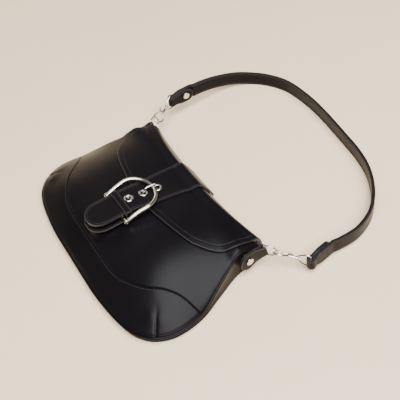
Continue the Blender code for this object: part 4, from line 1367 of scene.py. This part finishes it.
def make_snap_stud(look):
    post_end = snap_stud_plate + snap_post_height
    profile = (
        (0.0, 0.0), (snap_radius, 0.0), (snap_radius, -snap_stud_plate), (snap_post_radius, -snap_stud_plate),
        (snap_post_radius, -post_end), (0.0, -post_end),
    )
    stud = turned("snap_stud_shell", profile, look)
    round_edges(stud, snap_stud_plate * broken_edge_share)
    place(stud, Matrix.Translation((0, snap_y, tab_bottom_height - gap)))
    return stud


# Side tabs, rivets and rings


def side_tab_frame(side):
    """Origin at the tab's low end and X towards the ring, Z out of the gusset; and the tab's length."""
    low = Vector((half_width(side_tab_low_y), side_tab_low_y, side_tab_low_z))
    high = Vector((half_width(side_tab_high_y), side_tab_high_y, side_tab_high_z))
    out = Vector((high.y - low.y, low.x - high.x, 0)).normalized()
    length = (high - low).length
    along = (high - low) / length
    low += out * side_tab_standoff
    if side < 0:
        low.x, along.x, out.x = -low.x, -along.x, -out.x
    return frame_matrix(low, along, out.cross(along), out), length


def ring_bar(side):
    """Centre of the ring's bar and its direction, upwards."""
    matrix, length = side_tab_frame(side)
    centre = matrix @ Vector((length, 0, side_tab_leather / 2 + side_tab_fold_rise))
    direction = matrix.to_3x3() @ Vector((0, side, 0))
    return centre, direction


def side_tab_half_width(along, length):
    """Half width of the tab, round at its end and narrower towards its fold."""
    radius = side_tab_end_radius
    if along < radius:
        return math.sqrt(radius**2 - (radius - along) ** 2)
    return radius + (side_tab_fold_half_width - radius) * (along - radius) / (length - radius)


def side_tab_line(length):
    """The folded strip's centre line: from its lower end round the ring's bar to its upper end."""
    layer = side_tab_leather / 2
    centre = layer + side_tab_fold_rise
    bend = side_tab_fold_radius - layer / 2
    start = side_tab_end_radius * (1 - math.cos(tip_start_angle))
    flat = np.linspace(start, length - side_tab_fold_length, arc_steps // 2)
    round_bar = arc(length, centre, bend, bend, -math.pi / 2, math.pi / 2, arc_steps // 2)
    lower = [(along, layer / 2) for along in flat]
    upper = [(along, layer * 3 / 2) for along in flat[::-1]]
    return resample(round_corners([*lower, *round_bar, *upper]), np.linspace(0, 1, side_tab_samples))


def make_side_tab(side_name, looks):
    """A strip folded round the ring's bar, its two layers pressed together under the rivet."""
    matrix, length = side_tab_frame(side_sign[side_name])
    thickness = side_tab_leather / 2 - gap / 2
    line = side_tab_line(length)
    shares = np.linspace(-1, 1, strap_columns)
    rows = []
    for (along, _), (low_along, low_height) in zip(line, inset(line, thickness / 2)):
        half = side_tab_half_width(min(along, length), length)
        rows.append([matrix @ Vector((low_along, half * share, low_height)) for share in shares])
    bar_centre = ring_bar(side_sign[side_name])[0]
    return skin(f"side_tab_leather_{side_name}", rows, thickness, lambda spot: Vector(spot) - bar_centre,
                looks)


def rivet_profile(post_length):
    """A domed head on a post; Z = 0 is the leather's face."""
    profile = []
    for angle in np.linspace(0, math.pi / 2, arc_steps // 2):
        height = gap + rivet_rim_height + (rivet_head_height - rivet_rim_height) * math.cos(angle)
        profile.append((rivet_head_radius * math.sin(angle), height))
    return profile + [
        (rivet_head_radius, gap),
        (rivet_post_radius, gap),
        (rivet_post_radius, -post_length),
        (0.0, -post_length),
    ]


def make_tab_rivet(side_name, look):
    post_length = side_tab_leather + side_tab_standoff + leather
    rivet = turned(f"tab_rivet_head_{side_name}", rivet_profile(post_length), look)
    round_edges(rivet, rivet_rim_height * broken_edge_share)
    seat = Matrix.Translation((rivet_from_tab_end, 0, side_tab_leather))
    place(rivet, side_tab_frame(side_sign[side_name])[0] @ seat)
    return rivet


def hook_direction(side_name):
    azimuth = hook_azimuth[side_name]
    elevation = hook_elevation[side_name]
    flat = math.cos(elevation)
    outward = side_sign[side_name] * math.sin(azimuth) * flat
    return Vector((outward, math.cos(azimuth) * flat, math.sin(elevation)))


def ring_geometry(side_name):
    """Bar centre and direction, direction out of the tab, arc centre, and the hook's place on the wire."""
    centre, bar = ring_bar(side_sign[side_name])
    pull = hook_direction(side_name)
    out = (pull - bar * pull.dot(bar)).normalized()
    arc_centre = centre + out * ring_leg
    return centre, bar, out, arc_centre, arc_centre + pull * ring_radius


def hang_place(side_name):
    return ring_geometry(side_name)[4]


def make_d_ring(side_name, look):
    centre, bar, out, arc_centre, _ = ring_geometry(side_name)
    points = [centre, centre + bar * ring_half_bar]
    for angle in np.linspace(math.pi / 2, -math.pi / 2, arc_steps + 1):
        reach = ring_radius * math.cos(angle)
        points.append(arc_centre + out * reach + bar * ring_half_bar * math.sin(angle))
    points.append(centre - bar * ring_half_bar)
    line = round_corners(points, wire_corner_passes, cyclic=True)
    return tube(f"d_ring_wire_{side_name}", line, ring_wire_radius, look, cyclic=True)


# Snap hooks


def hook_origin(side_name):
    """Middle of the hook's loop when the strap pulls the loop against the ring's wire."""
    slack_left = hook_loop_radius - hook_wire_radius - ring_wire_radius - hook_play
    return hang_place(side_name) + hook_direction(side_name) * slack_left


def hook_frame(side_name):
    """Origin in the loop's middle; X along the hook to the strap, Y across its loop, Z through the loop."""
    bar = ring_geometry(side_name)[1]
    pull = hook_direction(side_name)
    wire = (bar - pull * bar.dot(pull)).normalized()
    through = wire * math.cos(hook_roll) - pull.cross(wire) * math.sin(hook_roll) * side_sign[side_name]
    return frame_matrix(hook_origin(side_name), pull, through.cross(pull), through)


def loop_point(angle):
    """A place on the centre line of the hook's loop."""
    return (math.cos(angle) * hook_loop_radius, math.sin(angle) * hook_loop_radius, 0.0)


def make_hook_body(side_name, look):
    throat = loop_point(hook_throat_start)
    points = [(hook_barrel_start + hook_barrel_radius, 0, 0), (hook_barrel_start, throat[1] / 3, 0)]
    for angle in np.linspace(hook_throat_start, hook_tip_angle - 2 * math.pi, arc_steps * 2):
        points.append(loop_point(angle))
    body = tube(f"hook_{side_name}_casting", round_corners(points), hook_wire_radius, look)
    head_start = collar_start + collar_length + gap
    head_end = head_start + swivel_head_length
    for radius, *ends in (
        (hook_barrel_radius, hook_barrel_start, hook_barrel_end),
        (hook_neck_radius, hook_barrel_end - hook_neck_radius, head_end - hook_neck_radius),
        (swivel_head_radius, head_start, head_end),
    ):
        join_rod(body, radius, [(end, 0, 0) for end in ends], look, radius * broken_edge_share / 2)
    combine(body, ball("nose", hook_wire_radius, loop_point(hook_tip_angle), look), "UNION")
    pivot_x, pivot_y = gate_pivot
    lug = block("lug", (pivot_x - gate_knuckle_radius, 0, -gate_layer),
                (pivot_x + gate_knuckle_radius, pivot_y + gate_knuckle_radius, -gap / 2), look)
    round_edges(lug, gate_knuckle_radius * broken_edge_share)
    combine(body, lug, "UNION")
    ends = [(pivot_x, pivot_y, height) for height in (-gate_layer * 2, gate_layer)]
    drill(body, gate_pin_radius, ends, look)
    place(body, hook_frame(side_name))
    smooth(body)
    return body


def make_hook_gate(side_name, look):
    """Its knuckle turns beside the hook's lug; a thumb lever stands off behind it."""
    pivot_x, pivot_y = gate_pivot
    layer = (gap / 2 + gate_layer) / 2
    points = [
        (pivot_x + thumb_reach[0], pivot_y + thumb_reach[1], layer),
        (pivot_x, pivot_y + gate_wire_radius, layer),
    ]
    points += [loop_point(angle) for angle in np.linspace(gate_arc_start, gate_tip_angle, gate_arc_points)]
    gate = tube(f"hook_gate_wire_{side_name}", spline(points, arc_steps * 2), gate_wire_radius, look)
    ends = [(pivot_x, pivot_y, height) for height in (gap / 2, gate_layer)]
    join_rod(gate, gate_knuckle_radius, ends, look, gate_wire_radius * broken_edge_share)
    ends = [(pivot_x, pivot_y, height) for height in (-gate_layer, gate_layer * 2)]
    drill(gate, gate_pin_radius, ends, look)
    place(gate, hook_frame(side_name))
    smooth(gate)
    return gate


def make_gate_pin(side_name, look):
    head = gate_pin_radius
    top = gate_layer + gap * 2
    low = -gate_layer - gap
    profile = (
        (0.0, top + head), (gate_pin_head, top + head), (gate_pin_head, top), (gate_pin_radius, top),
        (gate_pin_radius, low), (gate_pin_head, low), (gate_pin_head, low - head), (0.0, low - head),
    )
    pin = turned(f"gate_pin_rivet_{side_name}", profile, look)
    round_edges(pin, head * broken_edge_share)
    place(pin, hook_frame(side_name) @ Matrix.Translation((*gate_pivot, 0)))
    return pin


def eye_place(side_name):
    return hook_origin(side_name) + hook_direction(side_name) * eye_bar_distance


def make_swivel_eye(side_name, look):
    """A collar round the hook's neck, and a loop whose upright bar carries the strap."""
    eye = eye_place(side_name)
    pull = hook_direction(side_name)
    start = collar_start + collar_length / 2 - eye_bar_distance
    half = [(start * along, eye_half_width * height) for along, height in eye_shares]
    line = half + [(along, -height) for along, height in half[::-1]]
    points = [eye + pull * along + Vector((0, 0, height)) for along, height in line]
    rounded = round_corners(points, wire_corner_passes)
    thing = tube(f"swivel_eye_wire_{side_name}", rounded, eye_wire_radius, look)
    centre = hook_origin(side_name)
    ends = [centre + pull * (collar_start + step) for step in (0.0, collar_length)]
    join_rod(thing, collar_radius, ends, look, collar_radius * broken_edge_share)
    reach = (-collar_length / 2, collar_length * collar_bore_share)
    ends = [centre + pull * (collar_start + step) for step in reach]
    drill(thing, hook_neck_radius, ends, look)
    smooth(thing)
    return thing


# Shoulder strap


def strap_end_frame(side_name):
    """The eye's place, the direction out along the strap and the direction to the inside of the loop."""
    first = strap_flat_points()[0 if side_name == "left" else -1]
    eye = eye_place(side_name)
    along = Vector((first.x - eye.x, first.y - eye.y, 0)).normalized()
    inward = Vector((along.y, -along.x, 0)) * -side_sign[side_name]
    return eye, along, inward


def strap_flat_points():
    """Centre line of the strap where it lies on its edge."""
    axis_y = hang_place("left").y
    points = []
    for x_share, y_share in strap_route_shares:
        y = axis_y + y_share * strap_loop_length
        points.append(Vector((x_share * strap_loop_half_width, y, strap_half_width)))
    return points


def strap_end(side_name):
    """One end from the tail round the eye's bar: points with half widths."""
    eye, along, inward = strap_end_frame(side_name)
    fold = eye_wire_radius + gap + strap_leather / 2
    layer = (strap_leather + gap) / 2
    line = []
    for distance, half in round_end(0.0, strap_half_width):
        line.append((eye + along * (strap_end_length - distance) + inward * layer, half))
    nose = strap_nose_half_width
    tapered = []
    for share in np.linspace(0, 1, taper_steps):
        half = nose + (strap_half_width - nose) * smoothstep(share)
        tapered.append((fold + (strap_taper_length - fold) * share, half))
    for distance, half in tapered[::-1]:
        line.append((eye + along * distance + inward * layer, half))
    for angle in np.linspace(math.pi / 2, math.pi * 3 / 2, arc_steps)[1:-1]:
        line.append((eye + along * fold * math.cos(angle) + inward * fold * math.sin(angle), nose))
    for distance, half in tapered:
        line.append((eye + along * distance - inward * layer, half))
    for distance in np.linspace(strap_taper_length, strap_end_length, taper_steps)[1:]:
        line.append((eye + along * distance - inward * layer, strap_half_width))
    return line


def strap_line():
    """The whole strap from tail to tail: points with half widths."""
    left = strap_end("left")
    right = strap_end("right")
    ends = [left[-taper_steps][0], left[-1][0], *strap_flat_points(), right[-1][0], right[-taper_steps][0]]
    middle = spline(ends, strap_middle_samples)
    kept = []
    for point in middle:
        from_eye = min((Vector(point) - eye_place(name)).xy.length for name in side_sign)
        if from_eye > strap_end_length + strap_end_spacing:
            height = eye_place("left" if point[0] < 0 else "right").z
            lift = smoothstep(1 - (from_eye - strap_end_length) / strap_rise_length)
            z = strap_half_width + (height - strap_half_width) * lift
            kept.append((Vector((point[0], point[1], z)), strap_half_width))
    return left + kept + right[::-1]


def strap_normals(line):
    points = np.array([tuple(point) for point, _ in line])
    slopes = np.gradient(points, axis=0)
    normals = np.stack((slopes[:, 1], -slopes[:, 0], np.zeros(len(slopes))), 1)
    return points, normals / np.linalg.norm(normals, axis=1)[:, None]


def make_strap(looks):
    line = strap_line()
    points, normals = strap_normals(line)
    shares = np.linspace(-1, 1, strap_columns)
    rows = []
    for point, normal, (_, half) in zip(points, normals, line):
        base = point - normal * strap_leather / 2
        rows.append([tuple(base + np.array((0, 0, half * share))) for share in shares])
    return skin("strap_leather", rows, strap_leather, lambda _: Vector((0, -1, 0)), looks)


def make_strap_stitches(look):
    """Both edges are stitched, and show on both faces except where the folded ends lie together."""
    line = strap_line()
    points, normals = strap_normals(line)
    end_count = len(strap_end("left"))
    made = []
    for face_name, face, first in (("inner", 1, end_count), ("outer", -1, arc_steps // 2)):
        for edge_name, edge in (("low", -1), ("high", 1)):
            run = []
            for point, normal, (_, half) in list(zip(points, normals, line))[first:-first]:
                reach = (half - strap_line_inset) * edge
                run.append(point + normal * face * strap_leather / 2 + np.array((0, 0, reach)))
            outs = nearest_direction(np.array(run), normals[first:-first] * face)
            made.append(stitches(f"strap_stitches_{face_name}_{edge_name}", run, outs, look))
    return made


def nearest_direction(places, directions):
    """A function that gives the direction out of a face at the nearest of its known points."""
    def out(spot):
        away = np.linalg.norm(places - np.array(tuple(spot)), axis=1)
        return Vector(directions[int(away.argmin())])

    return out


def make_strap_rivet(side_name, look):
    """Set through both layers of the strap's end, its head on the inner face."""
    eye, along, inward = strap_end_frame(side_name)
    depth = strap_leather + gap / 2
    rivet = turned(f"strap_rivet_head_{side_name}", rivet_profile(depth * 2), look)
    round_edges(rivet, rivet_rim_height * broken_edge_share)
    seat = eye + along * strap_rivet_distance + inward * depth
    place(rivet, frame_matrix(seat, along, inward.cross(along), inward))
    return rivet


# Finishes


def linear(hex_colour):
    """An sRGB hex colour as the linear values that a shader takes."""
    values = [int(hex_colour[start : start + 2], 16) / 255 for start in (1, 3, 5)]
    return (*(v / 12.92 if v <= 0.04045 else ((v + 0.055) / 1.055) ** 2.4 for v in values), 1.0)


def add(tree, kind, links=None, **settings):
    """Adds a node with its settings; links go into its sockets from other nodes' outputs or as values."""
    node = tree.nodes.new(kind)
    for name, value in settings.items():
        setattr(node, name, value)
    for socket, source in (links or {}).items():
        if isinstance(source, bpy.types.NodeSocket):
            tree.links.new(source, node.inputs[socket])
        else:
            node.inputs[socket].default_value = source
    return node


def new_material(name, metallic, shine):
    """A material with its shader's constants, its node tree, and the place on the piece in metres."""
    material = bpy.data.materials.new(name)
    material.use_nodes = True
    tree = material.node_tree
    shader = tree.nodes["Principled BSDF"]
    for socket, value in {"Metallic": metallic, **shine}.items():
        shader.inputs[socket].default_value = value
    return material, tree, add(tree, "ShaderNodeTexCoord").outputs["Object"]


def finished(material, colour, rough, height=None):
    """The material with its colour and roughness, and a relief whose height is in metres."""
    tree = material.node_tree
    shader = tree.nodes["Principled BSDF"]
    tree.links.new(colour, shader.inputs["Base Color"])
    tree.links.new(rough, shader.inputs["Roughness"])
    if height is not None:
        bump = add(tree, "ShaderNodeBump", {"Height": height, "Distance": 1.0, "Strength": 1.0})
        tree.links.new(bump.outputs["Normal"], shader.inputs["Normal"])
    return material


def two_colours(tree, share, first, second):
    """A colour between two, by a share from 0 to 1."""
    ramp = add(tree, "ShaderNodeValToRGB", {"Fac": share})
    ramp.color_ramp.elements[0].color = linear(first)
    ramp.color_ramp.elements[1].color = linear(second)
    return ramp.outputs["Color"]


def tinted(tree, share, colour, other):
    """A colour turned by a share from 0 to 1 into another."""
    links = {"Factor": share, "A": colour, "B": linear(other)}
    return add(tree, "ShaderNodeMix", links, data_type="RGBA").outputs["Result"]


def between(tree, value, low, high):
    """A value from 0 to 1 spread from low to high."""
    return add(tree, "ShaderNodeMapRange", {"Value": value, "To Min": low, "To Max": high}).outputs["Result"]


def computed(tree, operation, *values):
    """One step of arithmetic on values or other nodes' outputs."""
    return add(tree, "ShaderNodeMath", dict(enumerate(values)), operation=operation).outputs[0]


def product(tree, value, factor):
    return computed(tree, "MULTIPLY", value, factor)


def total(tree, first, second):
    return computed(tree, "ADD", first, second)


def mottle(tree, place_in, patch, detail, strength):
    """Soft unevenness from 0 to 1, in patches of about this size."""
    links = {"Vector": place_in, "Scale": 1 / patch, "Detail": detail, "Roughness": strength}
    return add(tree, "ShaderNodeTexNoise", links).outputs["Fac"]


def line_profile(tree, distance_name, place_mm, width):
    """How near a line at this distance in millimetres a point lies, from 0 to 1, by its stored distance."""
    distance = add(tree, "ShaderNodeAttribute", attribute_name=distance_name).outputs["Fac"]
    share = product(tree, total(tree, distance, -place_mm), millimetre / width)
    return computed(tree, "EXPONENT", product(tree, product(tree, share, share), -1.0))


def mottled(name, shine, mottling, colours, roughness, depth=0.0):
    """A material whose colour, roughness and relief all follow one mottle."""
    material, tree, place_in = new_material(name, 0.0, shine)
    share = mottle(tree, place_in, *mottling)
    height = product(tree, share, depth) if depth else None
    return finished(material, two_colours(tree, share, *colours), between(tree, share, *roughness), height)


def smooth_calf(name, crease=None, seams=False):
    """Drum-dyed calf, ironed and lightly waxed: a near-black face with a soft sheen and a fine flat grain.

    crease is the distance inside a piece's edge where a line is pressed in; with it the rim is painted
    lighter, partly rubbed wear and partly a painted highlight on the rounded edge. seams paints shade along
    the seam grooves."""
    material, tree, place_in = new_material(name, 0.0, calf_shine)
    pores = add(tree, "ShaderNodeTexVoronoi", {"Vector": place_in, "Scale": 1 / grain_cell},
                feature="SMOOTH_F1").outputs["Distance"]
    fibre = mottle(tree, place_in, *fibre_mottle)
    cloudy = mottle(tree, place_in, *dye_mottle)
    colour = two_colours(tree, cloudy, *calf_black)
    height = total(tree, product(tree, pores, grain_depth), product(tree, fibre, fibre_depth))
    height = total(tree, height, product(tree, cloudy, ripple_depth))
    rough = total(tree, between(tree, cloudy, *calf_roughness), product(tree, pores, pore_roughness))
    if crease is not None:
        creased = line_profile(tree, "edge_mm", crease / millimetre, crease_width)
        height = total(tree, height, product(tree, creased, -crease_depth))
        # Rim painted lighter: partly rubbed wear, partly a painted highlight on the rounded edge
        worn_and_lit_rim = line_profile(tree, "edge_mm", 0.0, rub_and_highlight_width)
        colour = tinted(tree, product(tree, worn_and_lit_rim, rub_and_highlight_share), colour, rubbed_and_lit_edge)
    if seams:
        # Painted shade along the seam and dart grooves
        colour = tinted(tree, line_profile(tree, "seam_mm", 0.0, seam_shade_width), colour, painted_seam_shade)
    return finished(material, colour, rough, height)


def edge_paint(name):
    """Two coats of acrylic edge paint, burnished: smoother and a little glossier than the leather's face."""
    return mottled(name, paint_shine, paint_mottle, paint_black, paint_roughness, paint_depth)


def split_suede(name):
    """The leather's flesh side, buffed to a short nap that scatters light."""
    return mottled(name, suede_shine, nap_mottle, suede_black, suede_roughness, nap_depth)


def bonded_thread(name):
    """Bonded nylon thread, three plies twisted: a small even ripple along each stitch."""
    return mottled(name, thread_shine, ply_mottle, thread_black, thread_roughness, ply_depth)


def lacquered_table(name):
    """A table top in satin cream lacquer: even and pale, barely mottled."""
    return mottled(name, table_shine, table_mottle, table_cream, table_roughness)


def nickel_plate(name):
    """Zinc casting, polished and nickel plated: bright, faintly warm, with hair-fine handling scratches."""
    material, tree, place_in = new_material(name, 1.0, {})
    cloud = mottle(tree, place_in, *polish_mottle)
    squeezed = add(tree, "ShaderNodeMapping", {"Vector": place_in, "Scale": scratch_stretch})
    scratch = mottle(tree, squeezed.outputs["Vector"], *scratch_mottle)
    rough = total(tree, between(tree, cloud, *nickel_roughness), product(tree, scratch, scratch_roughness))
    return finished(material, two_colours(tree, cloud, *nickel_colours), rough,
                    product(tree, scratch, scratch_depth))


def waves(tree, links, direction):
    """Even bands from 0 to 1."""
    return add(tree, "ShaderNodeTexWave", links, wave_type="BANDS", bands_direction=direction).outputs["Fac"]


def cotton_twill(name):
    """Woven cotton twill: diagonal ribs of fine yarn, matt, with a faint nap."""
    material, tree, place_in = new_material(name, 0.0, twill_shine)
    links = {"Vector": place_in, "Scale": wave_per_metre / twill_rib, "Distortion": twill_wobble}
    ribs = waves(tree, links, "DIAGONAL")
    yarns = waves(tree, {"Vector": place_in, "Scale": wave_per_metre / (twill_rib / 2)}, "X")
    cloth = total(tree, product(tree, ribs, rib_share), product(tree, yarns, 1 - rib_share))
    rough = between(tree, cloth, *twill_roughness)
    height = product(tree, cloth, twill_depth)
    return finished(material, two_colours(tree, cloth, *twill_black), rough, height)


# Room


def make_table(look):
    bm = bmesh.new()
    bmesh.ops.create_grid(bm, x_segments=1, y_segments=1, size=table_half_size)
    table = add_mesh("table", bm, [look])
    table.location = (0, 0, -table_drop)


def softbox(name, place_at, size, power, colour):
    """A lamp behind a rectangular diffuser, aimed at the middle of the bag."""
    lamp = bpy.data.lights.new(name, "AREA")
    lamp.shape = "RECTANGLE"
    lamp.size, lamp.size_y = size
    lamp.energy = power
    lamp.color = linear(colour)[:3]
    thing = bpy.data.objects.new(name, lamp)
    thing.location = place_at
    thing.rotation_euler = (-Vector(place_at)).to_track_quat("-Z", "Y").to_euler()
    bpy.context.scene.collection.objects.link(thing)


def light_room():
    world = bpy.data.worlds.new("soft_room")
    world.use_nodes = True
    sky = world.node_tree.nodes["Background"]
    sky.inputs["Color"].default_value = linear(room_colour)
    sky.inputs["Strength"].default_value = room_strength
    bpy.context.scene.world = world
    for lamp in softboxes:
        softbox(*lamp)


def make_camera():
    lens = bpy.data.cameras.new("camera")
    lens.sensor_width = sensor_width
    lens.lens = sensor_width * focal_share
    right = Vector(camera_right).normalized()
    upward = (Vector(camera_up) - right * right.dot(Vector(camera_up))).normalized()
    camera = bpy.data.objects.new("camera", lens)
    camera.matrix_world = frame_matrix(camera_place, right, upward, right.cross(upward))
    bpy.context.scene.collection.objects.link(camera)
    bpy.context.scene.camera = camera


def main():
    make_camera()
    light_room()
    make_table(lacquered_table("satin_lacquered_table"))
    paint = edge_paint("burnished_edge_paint")
    suede = split_suede("buffed_flesh_side")
    thread = bonded_thread("bonded_black_thread")
    nickel = nickel_plate("polished_nickel_plate")
    calf = [smooth_calf("ironed_black_calf"), paint, suede]
    front_calf = [smooth_calf("sewn_black_calf", seams=True), paint, suede]
    flap_calf = [smooth_calf("flap_black_calf", flap_line_inset), paint, suede]
    belt_calf = [smooth_calf("belt_black_calf", belt_line_inset), paint, suede]
    strap_calf = [smooth_calf("strap_black_calf", strap_line_inset), paint]
    keeper_calf = [smooth_calf("keeper_black_calf", keeper_line_inset), paint, suede]
    twill = [cotton_twill("woven_cotton_twill")] * 2

    settle(make_back_panel(calf), "bag", ["back_panel"])
    settle(make_gusset(calf[::-1]), "bag", ["gusset"])
    settle(make_piping(calf[0]), "bag", ["piping"])
    settle(make_front_panel(front_calf[::-1]), "bag", ["front_panel"])
    settle(make_front_yoke(front_calf[::-1]), "bag", ["front_yoke"])
    settle(make_yoke_stitches(thread), "bag")
    for row in make_dart_stitches(thread):
        settle(row, "bag")
    settle(make_lining(twill), "bag", ["lining"])
    settle(make_snap_socket(nickel), "bag", ["snap_socket"])
    for side_name in side_sign:
        settle(make_side_tab(side_name, strap_calf), "bag", ["side_tab_" + side_name])
        settle(make_tab_rivet(side_name, nickel), "bag", ["tab_rivet_" + side_name])

    flap_body = "flap_with_belt"
    settle(make_flap(flap_calf), flap_body, ["flap"])
    settle(make_flap_stitches(thread), flap_body)
    settle(make_closure_belt(belt_calf), flap_body, ["closure_belt"])
    settle(make_belt_stitches(thread), flap_body)
    settle(make_buckle_tab(belt_calf), flap_body, ["buckle_tab"])
    settle(make_tab_stitches(thread), flap_body)
    settle(make_belt_keeper(keeper_calf), flap_body, ["belt_keeper"])
    settle(make_buckle_bar(nickel), flap_body, ["buckle_bar"])
    settle(make_snap_stud(nickel), flap_body, ["snap_stud"])
    for piece, node in make_bar_loops(calf):
        settle(piece, flap_body, [node])
    for piece, node in make_eyelets(nickel):
        settle(piece, flap_body, [node])
    settle(make_buckle_frame(nickel), "buckle", ["buckle_frame"])
    settle(make_buckle_prong(nickel), "prong", ["buckle_prong"])

    settle(make_strap(strap_calf), "shoulder_strap", ["strap"])
    for row in make_strap_stitches(thread):
        settle(row, "shoulder_strap")
    for side_name in side_sign:
        settle(make_strap_rivet(side_name, nickel), "shoulder_strap", ["strap_rivet_" + side_name])
        settle(make_swivel_eye(side_name, nickel), "shoulder_strap", ["swivel_eye_" + side_name])
        settle(make_d_ring(side_name, nickel), "ring_" + side_name, ["d_ring_" + side_name])
        settle(make_hook_body(side_name, nickel), "hook_" + side_name, ["hook_body_" + side_name])
        settle(make_gate_pin(side_name, nickel), "hook_" + side_name, ["gate_pin_" + side_name])
        settle(make_hook_gate(side_name, nickel), "gate_" + side_name, ["hook_gate_" + side_name])


main()
